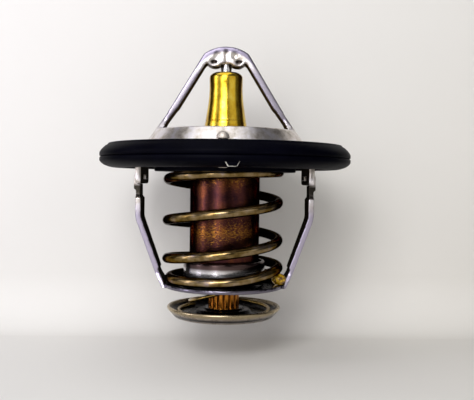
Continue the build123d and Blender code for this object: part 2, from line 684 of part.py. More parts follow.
def make_bypass_disc():
    """Dished disc with a raised hub and a rolled rim."""
    bottom = disc_bottom_z
    rim_r = disc_sheet / 2
    roll_z = disc_trough_z + disc_rim_rise - rim_r
    dish = turned((disc_bore_r, disc_hub_top_z - disc_sheet), (disc_hub_r, disc_hub_top_z - disc_sheet),
                  (disc_hub_r + 0.9, bottom), (disc_trough_r, bottom), (disc_r - 0.15, roll_z),
                  (disc_r - disc_sheet, roll_z), (disc_trough_r - 0.6, disc_trough_z),
                  (disc_hub_r + 1.0, disc_trough_z), (disc_hub_r + 0.1, disc_hub_top_z),
                  (disc_bore_r, disc_hub_top_z))
    roll = Plane(origin=(disc_r - rim_r, 0, roll_z), z_dir=(0, -1, 0)) * Circle(rim_r)
    return dish + revolve(roll, Axis.Z)


def make_bypass_washer():
    """Washer on the disc's hub."""
    return tube(disc_washer_r, disc_bore_r, disc_hub_top_z, disc_hub_top_z + disc_washer_height)


def make_retaining_clip():
    """Open ring in the stem's groove, under the disc."""
    clip_top_z = disc_hub_top_z - disc_sheet
    core_r = stem_r - clip_groove_depth + staked_gap
    ring = tube(clip_r, core_r, clip_top_z - clip_height + staked_gap, clip_top_z - staked_gap)
    mouth = block(0, clip_r + 1, -1.0, 1.0, clip_top_z - clip_height - 1, clip_top_z + 1)
    return ring - mouth


def make_bypass_spring():
    """Conical spring: one wide coil in the disc's trough, then a steep climb to the capsule."""
    low_z = disc_trough_z + bypass_wire / 2
    rise = capsule_bottom_z - bypass_wire / 2 - low_z
    narrow = bypass_bottom_r - bypass_top_r
    top = bypass_turns
    heights = [(0, 0), (0.4, 0), (0.7, 0.065 * rise), (0.94, 0.18 * rise), (1.1, 0.25 * rise),
               (top - 0.62, 0.7 * rise), (top - 0.4, 0.91 * rise), (top - 0.2, rise), (top, rise)]
    radii = [(0, 0), (0.95, 0), (1.1, 0.05 * narrow), (top - 0.62, 0.5 * narrow),
             (top - 0.35, 0.9 * narrow), (top, narrow)]

    def place_at(wound):
        return 0, bypass_bottom_r - eased(radii, wound), low_z + eased(heights, wound)

    return coil(bypass_wire, bypass_turns, place_at, bypass_start_angle)


# ---------------------------------------------------------------- jiggle valve
def at_jiggle(shape):
    """Moves a piece turned about Z to the jiggle valve's hole."""
    return Pos(jiggle_x, jiggle_y, 0) * shape


def make_jiggle_bush():
    """Bush staked in the upper flange, which the pin hangs in."""
    return at_jiggle(turned((jiggle_bore_r, 0), (jiggle_spigot_r, 0), (jiggle_spigot_r, frame_sheet),
                            (jiggle_bush_r, frame_sheet), (jiggle_bush_r, jiggle_bush_top_z - 0.3),
                            (jiggle_bush_r - 0.3, jiggle_bush_top_z), (jiggle_bore_r, jiggle_bush_top_z)))


def make_jiggle_pin():
    """Loose pin with a domed head on the bush."""
    head_z = jiggle_bush_top_z + seat_gap
    weight_top_z = seat_bottom_z - jiggle_weight_drop
    tip_z = weight_top_z - jiggle_weight_height
    line = Polyline((jiggle_head_r, 0, head_z + 0.4), (jiggle_head_r, 0, head_z),
                    (jiggle_shank_r, 0, head_z), (jiggle_shank_r, 0, tip_z), (0, 0, tip_z),
                    (0, 0, head_z + jiggle_head_height))
    dome = ThreePointArc((0, 0, head_z + jiggle_head_height), (jiggle_head_r * 0.75, 0, head_z + 1.1),
                         (jiggle_head_r, 0, head_z + 0.4))
    return at_jiggle(revolve(make_face([line, dome]), Axis.Z))


def make_jiggle_weight():
    """Tapered weight riveted to the pin's lower end."""
    top_z = seat_bottom_z - jiggle_weight_drop
    bottom_z = top_z - jiggle_weight_height
    bore = jiggle_shank_r + staked_gap
    return at_jiggle(turned((bore, bottom_z), (jiggle_weight_bottom_r, bottom_z),
                            (jiggle_weight_top_r, top_z - 0.25), (jiggle_weight_top_r, top_z),
                            (bore, top_z)))


# ---------------------------------------------------------------- write every node
MAKERS = {
    "upper_frame": make_upper_frame,
    "seat_plate": make_seat_plate,
    "gasket": make_gasket,
    "lower_frame": make_lower_frame,
    "piston": make_piston,
    "main_spring": make_main_spring,
    "jiggle_bush": make_jiggle_bush,
    "jiggle_pin": make_jiggle_pin,
    "jiggle_weight": make_jiggle_weight,
    "guide": make_guide,
    "guide_seal": make_guide_seal,
    "capsule": make_capsule,
    "rubber_sleeve": make_rubber_sleeve,
    "backup_washer": make_backup_washer,
    "wax_charge": make_wax_charge,
    "valve_plate": make_valve_plate,
    "valve_seal": make_valve_seal,
    "valve_collar": make_valve_collar,
    "bypass_stem": make_bypass_stem,
    "bypass_spring": make_bypass_spring,
    "bypass_disc": make_bypass_disc,
    "bypass_washer": make_bypass_washer,
    "retaining_clip": make_retaining_clip,
}

for name, maker in MAKERS.items():
    export_step(maker(), f"parts/{name}.step")
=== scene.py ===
import json
import math

import bpy
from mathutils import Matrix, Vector
from mathutils import noise as turbulence


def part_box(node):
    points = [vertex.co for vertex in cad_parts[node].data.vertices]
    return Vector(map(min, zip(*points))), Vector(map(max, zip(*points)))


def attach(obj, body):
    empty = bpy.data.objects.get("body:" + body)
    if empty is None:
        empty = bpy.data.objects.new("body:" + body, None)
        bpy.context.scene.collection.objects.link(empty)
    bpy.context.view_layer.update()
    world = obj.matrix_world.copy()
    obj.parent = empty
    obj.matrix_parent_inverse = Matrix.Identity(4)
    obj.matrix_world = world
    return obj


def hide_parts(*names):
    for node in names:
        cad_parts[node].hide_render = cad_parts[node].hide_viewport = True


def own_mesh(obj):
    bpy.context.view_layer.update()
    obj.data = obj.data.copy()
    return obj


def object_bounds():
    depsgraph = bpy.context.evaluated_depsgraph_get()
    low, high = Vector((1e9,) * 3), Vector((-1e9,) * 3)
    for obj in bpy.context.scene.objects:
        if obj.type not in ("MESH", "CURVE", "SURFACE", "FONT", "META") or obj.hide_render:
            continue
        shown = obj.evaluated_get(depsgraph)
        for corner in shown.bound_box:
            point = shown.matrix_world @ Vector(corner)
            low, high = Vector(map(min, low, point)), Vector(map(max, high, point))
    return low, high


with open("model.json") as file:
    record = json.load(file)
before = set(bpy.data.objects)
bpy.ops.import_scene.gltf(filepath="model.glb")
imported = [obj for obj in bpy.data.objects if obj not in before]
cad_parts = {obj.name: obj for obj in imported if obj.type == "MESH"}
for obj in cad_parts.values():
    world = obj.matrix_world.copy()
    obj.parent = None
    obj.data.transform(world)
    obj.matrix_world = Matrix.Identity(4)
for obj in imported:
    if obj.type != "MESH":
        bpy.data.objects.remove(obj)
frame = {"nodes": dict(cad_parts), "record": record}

CAD_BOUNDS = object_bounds()
MM = 0.001                       # the scene is in metres, and sizes below are given in millimetres


# ------------------------------------------------------------------ colours and shader nodes
def srgb(hex_colour):
    """An sRGB hex value as the linear RGBA that a shader socket takes."""
    parts = [int(hex_colour[i:i + 2], 16) / 255 for i in (1, 3, 5)]
    return [c / 12.92 if c <= 0.04045 else ((c + 0.055) / 1.055) ** 2.4 for c in parts] + [1.0]


def add(tree, kind, links=None, **settings):
    """Adds one shader node; settings are attributes or input values, links are input: output."""
    node = tree.nodes.new(kind)
    for key, value in settings.items():
        name = key.replace("_", " ")
        if hasattr(node, key):
            setattr(node, key, value)
        else:
            node.inputs[name].default_value = value
    for socket, source in (links or {}).items():
        tree.links.new(source, node.inputs[socket])
    return node


def ramp(tree, factor, *stops):
    """A colour ramp through (position, colour) stops, fed by a factor output."""
    node = add(tree, "ShaderNodeValToRGB", {"Fac": factor})
    while len(node.color_ramp.elements) < len(stops):
        node.color_ramp.elements.new(0.5)
    for element, (position, colour) in zip(node.color_ramp.elements, stops):
        element.position = position
        element.color = srgb(colour)
    return node.outputs["Color"]


def new_material(name, metallic=0.0):
    """An empty material with its tree, Principled shader and object coordinates."""
    material = bpy.data.materials.new(name)
    material.use_nodes = True
    tree = material.node_tree
    shader = tree.nodes["Principled BSDF"]
    shader.inputs["Metallic"].default_value = metallic
    place = add(tree, "ShaderNodeTexCoord").outputs["Object"]
    return material, tree, shader, place


def bump(tree, shader, height, distance_mm):
    """Relief of a real depth on a shader's normal."""
    node = add(tree, "ShaderNodeBump", {"Height": height}, Strength=1.0, Distance=distance_mm * MM)
    tree.links.new(node.outputs["Normal"], shader.inputs["Normal"])


def noise(tree, place, size_mm, detail=4.0, roughness=0.5, stretch=None):
    """Noise whose lumps are about size_mm across; stretch squeezes it along some axes."""
    if stretch:
        place = add(tree, "ShaderNodeMapping", {"Vector": place}, Scale=stretch).outputs["Vector"]
    return add(tree, "ShaderNodeTexNoise", {"Vector": place}, Scale=1 / (size_mm * MM),
               Detail=detail, Roughness=roughness).outputs["Fac"]


def spread(tree, factor, low, high):
    """A 0 to 1 factor carried to a range of values."""
    return add(tree, "ShaderNodeMapRange", {"Value": factor}, To_Min=low, To_Max=high).outputs["Result"]


def mixed(tree, share, base_tint, over_tint):
    """A colour output mixed towards a second one, a hex value or an output, by a 0 to 1 share."""
    node = add(tree, "ShaderNodeMix", data_type="RGBA")
    tree.links.new(share, node.inputs[0])
    tree.links.new(base_tint, node.inputs[6])
    if isinstance(over_tint, str):
        node.inputs[7].default_value = srgb(over_tint)
    else:
        tree.links.new(over_tint, node.inputs[7])
    return node.outputs[2]


def math_node(tree, operation, first, second=0.0):
    """One arithmetic step on an output and an output or a plain value."""
    node = add(tree, "ShaderNodeMath", {0: first}, operation=operation)
    if isinstance(second, (int, float)):
        node.inputs[1].default_value = second
    else:
        tree.links.new(second, node.inputs[1])
    return node.outputs[0]


def vector_node(tree, operation, first, second=None):
    """One vector step on an output and an output or a plain vector; it gives the node."""
    node = add(tree, "ShaderNodeVectorMath", {0: first}, operation=operation)
    if isinstance(second, tuple):
        node.inputs[1].default_value = second
    elif second is not None:
        tree.links.new(second, node.inputs[1])
    return node


def both(tree, first, second):
    """The share of a point that lies in two zones at once."""
    return math_node(tree, "MULTIPLY", first, second)


def between(tree, value, zero_at, one_at):
    """A share that rises from 0 to 1 as a value goes from one place to another, in millimetres."""
    return add(tree, "ShaderNodeMapRange", {"Value": value}, From_Min=zero_at * MM,
               From_Max=one_at * MM).outputs["Result"]


def height_of(tree, place):
    """A point's height."""
    return add(tree, "ShaderNodeSeparateXYZ", {"Vector": place}).outputs["Z"]


def flat_place(tree, place):
    """A point's place with its height taken out, so that it points away from the part's axis."""
    return vector_node(tree, "MULTIPLY", place, (1, 1, 0)).outputs[0]


def axis_distance(tree, place):
    """A point's distance from the part's axis."""
    return vector_node(tree, "LENGTH", flat_place(tree, place)).outputs["Value"]


def paint_inner_shade(tree, shader, place, base_tint, inner_shade):
    """Painted shade, dark and matt, on the faces that look towards the part's own axis; plain metal
    elsewhere.
    """
    outwards = vector_node(tree, "NORMALIZE", flat_place(tree, place)).outputs[0]
    facing = add(tree, "ShaderNodeNewGeometry").outputs["Normal"]
    lean = vector_node(tree, "DOT_PRODUCT", outwards, facing).outputs["Value"]
    share = add(tree, "ShaderNodeMapRange", {"Value": lean}, From_Min=INNER_SHADE_BEGINS,
                From_Max=INNER_SHADE_COVERS).outputs["Result"]
    tree.links.new(mixed(tree, share, base_tint, inner_shade), shader.inputs["Base Color"])
    tree.links.new(spread(tree, share, 1.0, INNER_SHADE_METALLIC), shader.inputs["Metallic"])
    shader.inputs["Specular IOR Level"].default_value = 0.0


# ------------------------------------------------------------------ materials
# Painted shade on faces that look towards a part's axis: where it begins, where it is full, how metallic it
# leaves them
INNER_SHADE_BEGINS = -0.12              # cosine between a face and the way out from the axis
INNER_SHADE_COVERS = -0.5
INNER_SHADE_METALLIC = 0.03

# Zones of the pressed sheets: where a tint begins and where it is full, in millimetres
COLLAR_BELOW = (-21.5, -22.5)
COLLAR_WITHIN = (14.4, 13.9)
COLLAR_TO_FLOOR = (-22.5, -29.0)
LEGS_BELOW = (-9.5, -13.0)
LEGS_OUTSIDE = (13.9, 14.4)
NECK_BELOW = (-5.6, -6.4)
NECK_ABOVE = (-9.0, -7.9)
ARMS_ABOVE = (6.0, 8.5)
ARMS_BELOW = (22.0, 18.5)
CROWN_ABOVE = (18.5, 20.5)
INNER_SHADE_LIGHTER_ABOVE = (2.0, 7.0)
COLLAR_POLISH = 0.12              # how much smoother the drawn collar is than the rest of the sheet

# The crown's arc and its lower pair of press dents, as in the solid
ARCH_SHOULDER_X = 5.0
ARCH_SHOULDER_Z = 23.1
ARCH_PEAK_Z = 24.75
ARCH_EDGE = 1.2                   # width of the grey band along the arc
ARCH_EDGE_BLUR = 0.25
DENT_X = 2.75
DENT_Z = 21.4
DENT_HALF_WIDTH = 0.85
DENT_HALF_HEIGHT = 0.45
DENT_CLEAR = 1.3                  # squared distance from a dent's middle, in its own half sizes
DENT_DARK = 0.5

# The bypass disc's zones, by height and radius
DISC_RIM_ABOVE = (-34.5, -34.0)
DISH_WITHIN = (12.2, 11.8)
DISH_ABOVE = (-35.35, -35.05)

GLINT_BANDS = ((-16.4, 4.2), (-4.2, 3.2))        # bands of painted glints on the capsule, where light catches its flecks: middle and half height
FLECK_LIFT = 0.16                 # how much more readily flecks show in the middle of a band
FLUTE_ROOT_TO_TOP = (3.15, 3.5)


def arch_edge(tree, place):
    """Share of a point in the crown's outer edge, a band along its arc as seen from the front."""
    rise = ARCH_PEAK_Z - ARCH_SHOULDER_Z
    arc_r = (ARCH_SHOULDER_X ** 2 + rise ** 2) / (2 * rise)
    band_r = arc_r - ARCH_EDGE
    centred = vector_node(tree, "SUBTRACT", place, (0, 0, (ARCH_PEAK_Z - arc_r) * MM)).outputs[0]
    seen = vector_node(tree, "MULTIPLY", centred, (1, 0, 1)).outputs[0]
    away = vector_node(tree, "LENGTH", seen).outputs["Value"]
    return between(tree, away, band_r - ARCH_EDGE_BLUR, band_r + ARCH_EDGE_BLUR)


def dent_shade(tree, place):
    """Share of a point in the two oval dents low on the crown."""
    split = add(tree, "ShaderNodeSeparateXYZ", {"Vector": place})
    across = math_node(tree, "SUBTRACT", math_node(tree, "ABSOLUTE", split.outputs["X"]), DENT_X * MM)
    across = math_node(tree, "DIVIDE", across, DENT_HALF_WIDTH * MM)
    up = math_node(tree, "SUBTRACT", split.outputs["Z"], DENT_Z * MM)
    up = math_node(tree, "DIVIDE", up, DENT_HALF_HEIGHT * MM)
    square = math_node(tree, "ADD", math_node(tree, "POWER", across, 2.0), math_node(tree, "POWER", up, 2.0))
    return add(tree, "ShaderNodeMapRange", {"Value": square}, From_Min=DENT_CLEAR,
               From_Max=DENT_DARK).outputs["Result"]


def stamped_stainless():
    """Pressed stainless sheet: satin and smudged, smoother on its drawn collar; painted light and shade on
    the collar and floor, painted shade at the neck and on faces turned to the axis.
    """
    material, tree, shader, place = new_material("pressed_stainless_sheet")
    smudge = noise(tree, place, 3.2, 6.0, 0.65)
    tint = ramp(tree, smudge, (0.34, "#9C9288"), (0.46, "#D2CAC2"), (0.6, "#EAE5E8"))
    height, radius = height_of(tree, place), axis_distance(tree, place)
    low = both(tree, between(tree, height, *COLLAR_BELOW), between(tree, radius, *COLLAR_WITHIN))
    # Painted light and shade down the drawn collar and over the floor: dark up the collar, a painted
    # highlight band near its root, painted shade over the floor's top, lavender-grey at the floor's edge
    collar_light_and_shade = ramp(tree, between(tree, height, *COLLAR_TO_FLOOR), (0.0, "#8A7C78"), (0.1, "#4A3A38"),
                 (0.26, "#5A4A48"), (0.4, "#FFFCFE"), (0.52, "#F4F0F4"), (0.66, "#2C2628"),
                 (0.84, "#15110F"), (0.9, "#77727F"))
    tint = mixed(tree, low, tint, collar_light_and_shade)
    arms = both(tree, between(tree, height, *ARMS_ABOVE), between(tree, height, *ARMS_BELOW))
    tint = mixed(tree, arms, tint, "#928C98")
    legs = both(tree, between(tree, height, *LEGS_BELOW), between(tree, radius, *LEGS_OUTSIDE))
    tint = mixed(tree, legs, tint, "#B4ACC0")
    # Painted shade in the recessed neck where the legs hang from the ears
    neck_shade = both(tree, between(tree, height, *NECK_BELOW), between(tree, height, *NECK_ABOVE))
    tint = mixed(tree, neck_shade, tint, "#3A3630")
    crown = both(tree, between(tree, height, *CROWN_ABOVE), arch_edge(tree, place))
    tint = mixed(tree, crown, tint, "#767080")
    tint = mixed(tree, dent_shade(tree, place), tint, "#2A2320")
    # Colour of the painted shade on inward faces: darkest low down, lighter higher up
    inner_shade_colour = ramp(tree, between(tree, height, *INNER_SHADE_LIGHTER_ABOVE), (0.0, "#17130B"), (1.0, "#3E3018"))
    paint_inner_shade(tree, shader, place, tint, inner_shade_colour)
    patch = noise(tree, place, 1.4, 5.0, 0.6)
    polish = math_node(tree, "MULTIPLY", low, COLLAR_POLISH)
    rough = math_node(tree, "SUBTRACT", spread(tree, patch, 0.26, 0.42), polish)
    tree.links.new(rough, shader.inputs["Roughness"])
    grain = noise(tree, place, 0.5, 4.0, 0.6)
    bump(tree, shader, grain, 0.012)
    return material


def turned_brass():
    """Turned free-cutting brass: bright yellow, fine rings left by the tool."""
    material, tree, shader, place = new_material("turned_brass", metallic=1.0)
    patch = noise(tree, place, 2.0, 4.0, 0.6)
    tint = ramp(tree, patch, (0.3, "#B58A1A"), (0.55, "#DBB638"), (0.75, "#E6CA58"))
    tree.links.new(tint, shader.inputs["Base Color"])
    tree.links.new(spread(tree, patch, 0.16, 0.3), shader.inputs["Roughness"])
    rings = noise(tree, place, 0.35, 3.0, 0.6, stretch=(0.12, 0.12, 1.0))
    bump(tree, shader, rings, 0.012)
    return material


def moulded_rubber():
    """Moulded nitrile rubber: blue-black, satin, with a soft bloom on its rounded edges."""
    material, tree, shader, place = new_material("moulded_nitrile_rubber")
    patch = noise(tree, place, 5.0, 4.0, 0.6)
    tint = ramp(tree, patch, (0.35, "#010106"), (0.65, "#03030B"))
    tree.links.new(tint, shader.inputs["Base Color"])
    shader.inputs["Specular IOR Level"].default_value = 0.025
    tree.links.new(spread(tree, patch, 0.42, 0.54), shader.inputs["Roughness"])
    grain = noise(tree, place, 0.3, 4.0, 0.6)
    bump(tree, shader, grain, 0.008)
    return material


def browned_copper():
    """Drawn copper gone dark brown and plum in use, with fine gold flecks; two bands of painted glints,
    where light catches it, show more of them.
    """
    material, tree, shader, place = new_material("browned_copper", metallic=1.0)
    shader.inputs["Specular Tint"].default_value = srgb("#3A2026")
    patch = noise(tree, place, 3.5, 5.0, 0.6)
    brown = ramp(tree, patch, (0.3, "#2C1820"), (0.5, "#4A2826"), (0.72, "#6C3C22"))
    height = height_of(tree, place)
    # Painted glints: more gold flecks show in two bands where light catches the capsule
    bands = []
    for middle_mm, half_mm in GLINT_BANDS:
        away = math_node(tree, "ABSOLUTE", math_node(tree, "SUBTRACT", height, middle_mm * MM))
        bands.append(add(tree, "ShaderNodeMapRange", {"Value": away}, From_Max=half_mm * MM,
                         To_Min=FLECK_LIFT, To_Max=0.0).outputs["Result"])
    glint_bands = math_node(tree, "MAXIMUM", *bands)
    flecks = noise(tree, place, 0.42, 4.0, 0.7, stretch=(0.7, 0.7, 2.4))
    raised = math_node(tree, "ADD", flecks, glint_bands)
    gold = ramp(tree, raised, (0.0, "#000000"), (0.62, "#000000"), (0.74, "#FFFFFF"))
    tree.links.new(mixed(tree, gold, brown, "#A4702A"), shader.inputs["Base Color"])
    tree.links.new(spread(tree, patch, 0.16, 0.28), shader.inputs["Roughness"])
    bump(tree, shader, flecks, 0.025)
    return material


def tempered_wire():
    """Oil-tempered spring wire: straw-tinted steel, smooth from drawing."""
    material, tree, shader, place = new_material("oil_tempered_wire")
    shader.inputs["Specular Tint"].default_value = srgb("#4A4034")
    patch = noise(tree, place, 2.5, 4.0, 0.6)
    tint = ramp(tree, patch, (0.3, "#50401F"), (0.45, "#756039"), (0.6, "#948060"), (0.75, "#A0909A"))
    # Painted shade, near-black, on the wire's faces turned towards the spring's axis
    paint_inner_shade(tree, shader, place, tint, "#0D0A08")
    tree.links.new(spread(tree, patch, 0.14, 0.26), shader.inputs["Roughness"])
    grain = noise(tree, place, 0.35, 4.0, 0.6)
    bump(tree, shader, grain, 0.008)
    return material


def straw_wire():
    """Thin spring wire tempered to a straw gold."""
    material, tree, shader, place = new_material("straw_tempered_wire", metallic=1.0)
    patch = noise(tree, place, 2.0, 4.0, 0.6)
    tree.links.new(ramp(tree, patch, (0.3, "#7C6634"), (0.7, "#B89A56")), shader.inputs["Base Color"])
    tree.links.new(spread(tree, patch, 0.18, 0.3), shader.inputs["Roughness"])
    return material


def heat_tinted_steel():
    """Pressed steel browned by heat, with a painted khaki highlight along its rolled rim and painted shade
    in its dish.
    """
    material, tree, shader, place = new_material("heat_tinted_steel", metallic=1.0)
    patch = noise(tree, place, 2.5, 5.0, 0.65)
    tint = ramp(tree, patch, (0.3, "#7C7064"), (0.55, "#A09488"), (0.75, "#C6BAB8"))
    height, radius = height_of(tree, place), axis_distance(tree, place)
    # Painted highlight: khaki along the rolled rim, where light catches it
    tint = mixed(tree, between(tree, height, *DISC_RIM_ABOVE), tint, "#A8987A")
    # Painted shade: near-black in the dish inside the rim
    dish_shade = both(tree, between(tree, radius, *DISH_WITHIN), between(tree, height, *DISH_ABOVE))
    tint = mixed(tree, dish_shade, tint, "#0E0B0A")
    tree.links.new(tint, shader.inputs["Base Color"])
    tree.links.new(spread(tree, patch, 0.2, 0.36), shader.inputs["Roughness"])
    bump(tree, shader, noise(tree, place, 0.4, 4.0, 0.6), 0.01)
    return material


def ground_steel():
    """Centreless-ground steel: bright and smooth."""
    material, tree, shader, place = new_material("ground_steel", metallic=1.0)
    patch = noise(tree, place, 1.0, 4.0, 0.6)
    tree.links.new(ramp(tree, patch, (0.3, "#BDBCC0"), (0.7, "#DAD9DB")), shader.inputs["Base Color"])
    tree.links.new(spread(tree, patch, 0.15, 0.28), shader.inputs["Roughness"])
    bump(tree, shader, noise(tree, place, 0.3, 3.0, 0.6), 0.005)
    return material


def dull_steel():
    """Barrelled steel gone dull, close to the sheet round it."""
    material, tree, shader, place = new_material("barrelled_steel", metallic=1.0)
    patch = noise(tree, place, 0.9, 4.0, 0.6)
    tree.links.new(ramp(tree, patch, (0.35, "#C2B9AF"), (0.65, "#DAD2CA")), shader.inputs["Base Color"])
    shader.inputs["Roughness"].default_value = 0.55
    return material


def rolled_bronze():
    """Rolled bronze: warm orange-brown, with painted shade in its flute roots and painted light on their
    tops.
    """
    material, tree, shader, place = new_material("rolled_bronze", metallic=1.0)
    # Painted shade in the flute roots, painted light on the flute tops
    lit = between(tree, axis_distance(tree, place), *FLUTE_ROOT_TO_TOP)
    tint = ramp(tree, lit, (0.0, "#1E0C02"), (0.55, "#6E3C10"), (1.0, "#B4742A"))
    tree.links.new(tint, shader.inputs["Base Color"])
    shader.inputs["Roughness"].default_value = 0.2
    bump(tree, shader, noise(tree, place, 0.3, 3.0, 0.6), 0.004)
    return material


def marking_paint():
    """A thick dab of yellow lacquer over brass-coloured primer: glossy and wrinkled; its dark and pale
    patches, at random, are painted shade and painted highlights.
    """
    material, tree, shader, place = new_material("yellow_marking_paint")
    patch = noise(tree, place, 0.8, 4.0, 0.6)
    # Dark and pale patches at random: painted shade and painted highlights
    tint = ramp(tree, patch, (0.36, "#3A2604"), (0.48, "#8E6A10"), (0.62, "#CCA41C"), (0.78, "#F0DC78"))
    tree.links.new(tint, shader.inputs["Base Color"])
    shader.inputs["Roughness"].default_value = 0.15
    bump(tree, shader, noise(tree, place, 0.5, 3.0, 0.6), 0.08)
    return material


def pale_rubber():
    """Moulded rubber, pale grey, for a thin line along a sharp edge."""
    material, tree, shader, place = new_material("pale_rubber_edge")
    patch = noise(tree, place, 0.8, 4.0, 0.6)
    tree.links.new(ramp(tree, patch, (0.35, "#8B8880"), (0.6, "#C9C7BE")), shader.inputs["Base Color"])
    shader.inputs["Roughness"].default_value = 0.45
    return material


def wax_and_powder():
    """Wax filled with copper powder, as it lies in the capsule."""
    material, tree, shader, place = new_material("copper_filled_wax")
    patch = noise(tree, place, 0.5, 5.0, 0.6)
    tree.links.new(ramp(tree, patch, (0.4, "#B79A62"), (0.6, "#8C5A34")), shader.inputs["Base Color"])
    shader.inputs["Roughness"].default_value = 0.6
    bump(tree, shader, patch, 0.05)
    return material


STAINLESS = stamped_stainless()
BRASS = turned_brass()
RUBBER = moulded_rubber()
COPPER = browned_copper()
WIRE = tempered_wire()
STRAW = straw_wire()
TINTED = heat_tinted_steel()
GROUND = ground_steel()
BRONZE = rolled_bronze()
DULL = dull_steel()
PAINT = marking_paint()
PALE_LINE = pale_rubber()
WAX = wax_and_powder()


# ------------------------------------------------------------------ modelling tools
ROD_SIDES = 8
WIRE_STEPS = 96                   # steps in one turn of a spring
OUTLINE_MERGE = 0.002             # points closer than this are joined
SOLID_MERGE = 0.001
SMOOTHING = 0.5                   # how far one round of smoothing moves a point towards its neighbours


def deselect():
    """Leaves nothing selected and nothing in edit mode."""
    if bpy.context.object and bpy.context.object.mode != "OBJECT":
        bpy.ops.object.mode_set(mode="OBJECT")
    bpy.ops.object.select_all(action="DESELECT")


def settle(piece, name, body, material, smooth_deg=35.0):
    """Names and finishes a piece, gives it its material and lets it ride on its body."""
    bpy.ops.object.mode_set(mode="OBJECT")
    bpy.ops.object.transform_apply(location=True, rotation=True, scale=True)
    bpy.ops.object.shade_smooth_by_angle(angle=math.radians(smooth_deg))
    piece.name = name
    piece.data.materials.clear()
    piece.data.materials.append(material)
    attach(piece, body)
    deselect()


def arc(centre, radius, start_deg, end_deg, steps):
    """Points of an arc in the outline's plane, both ends included."""
    points = []
    for step in range(steps + 1):
        angle = math.radians(start_deg + (end_deg - start_deg) * step / steps)
        points.append((centre[0] + radius * math.cos(angle), centre[1] + radius * math.sin(angle)))
    return points


def draw_outline(points):
    """Draws a closed outline of (radius, height) points in the XZ plane by extruding one vertex."""
    deselect()
    bpy.ops.mesh.primitive_plane_add(size=MM)
    bpy.ops.object.mode_set(mode="EDIT")
    bpy.ops.mesh.select_all(action="SELECT")
    bpy.ops.mesh.merge(type="CENTER")
    bpy.ops.transform.translate(value=(points[0][0] * MM, 0, points[0][1] * MM))
    last = points[0]
    for point in points[1:] + points[:1]:
        step = ((point[0] - last[0]) * MM, 0, (point[1] - last[1]) * MM)
        bpy.ops.mesh.extrude_region_move(TRANSFORM_OT_translate={"value": step})
        last = point
    return bpy.context.object


def lathe(points, steps=128):
    """Turns an outline round Z and closes its seam and poles; the piece is left in edit mode."""
    piece = draw_outline(points)
    bpy.ops.mesh.select_all(action="SELECT")
    bpy.ops.mesh.spin(steps=steps, angle=2 * math.pi, center=(0, 0, 0), axis=(0, 0, 1))
    bpy.ops.mesh.select_all(action="SELECT")
    bpy.ops.mesh.remove_doubles(threshold=OUTLINE_MERGE * MM)
    bpy.ops.mesh.normals_make_consistent(inside=False)
    return piece


def rod_through(points, radius):
    """A thin round bar through points, mitred where it turns; its ends are closed."""
    deselect()
    first = (Vector(points[1]) - Vector(points[0])).to_track_quat("Z", "Y").to_euler()
    bpy.ops.mesh.primitive_circle_add(vertices=ROD_SIDES, radius=radius * MM, fill_type="NGON",
                                      rotation=first, location=[c * MM for c in points[0]])
    bar = bpy.context.object
    bpy.ops.object.transform_apply(location=True, rotation=True, scale=True)
    bpy.ops.object.mode_set(mode="EDIT")
    bpy.ops.mesh.select_all(action="SELECT")
    for last, point in zip(points, points[1:]):
        step = (Vector(point) - Vector(last)) * MM
        bpy.ops.mesh.extrude_region_move(TRANSFORM_OT_translate={"value": step})
    bpy.ops.mesh.select_all(action="SELECT")
    bpy.ops.mesh.normals_make_consistent(inside=False)
    return bar


def soften_pressing(node, voxel_mm, rounds):
    """A pressing's own solid, remeshed finely and eased so that its edges are rounded over."""
    deselect()
    source = frame["nodes"][node]
    piece = bpy.data.objects.new(node + "_pressing", source.data.copy())
    bpy.context.collection.objects.link(piece)
    piece.matrix_world = source.matrix_world.copy()
    piece.select_set(True)
    bpy.context.view_layer.objects.active = piece
    bpy.ops.object.mode_set(mode="EDIT")
    bpy.ops.mesh.select_all(action="SELECT")
    bpy.ops.mesh.remove_doubles(threshold=SOLID_MERGE * MM)
    bpy.ops.object.mode_set(mode="OBJECT")
    remesh = piece.modifiers.new("even_grid", "REMESH")
    remesh.mode = "VOXEL"
    remesh.voxel_size = voxel_mm * MM
    bpy.ops.object.modifier_apply(modifier="even_grid")
    ease = piece.modifiers.new("eased_edges", "SMOOTH")
    ease.factor = SMOOTHING
    ease.iterations = rounds
    bpy.ops.object.modifier_apply(modifier="eased_edges")
    return piece


def eased(stops, at):
    """Smooth, never overshooting curve through (place, value) stops, read at one place."""
    places = [place for place, value in stops]
    values = [value for place, value in stops]
    slopes = [(values[i + 1] - values[i]) / (places[i + 1] - places[i]) for i in range(len(stops) - 1)]
    tangents = [0.0]
    for before, after in zip(slopes, slopes[1:]):
        tangents.append(2 * before * after / (before + after) if before * after > 0 else 0.0)
    tangents.append(0.0)
    part = next((i for i in range(len(slopes)) if at <= places[i + 1]), len(slopes) - 1)
    run = places[part + 1] - places[part]
    t = min(max((at - places[part]) / run, 0), 1)
    start = values[part] * (1 + 2 * t) + run * tangents[part] * t
    end = values[part + 1] * (3 - 2 * t) - run * tangents[part + 1] * (1 - t)
    return start * (1 - t) ** 2 + end * t ** 2


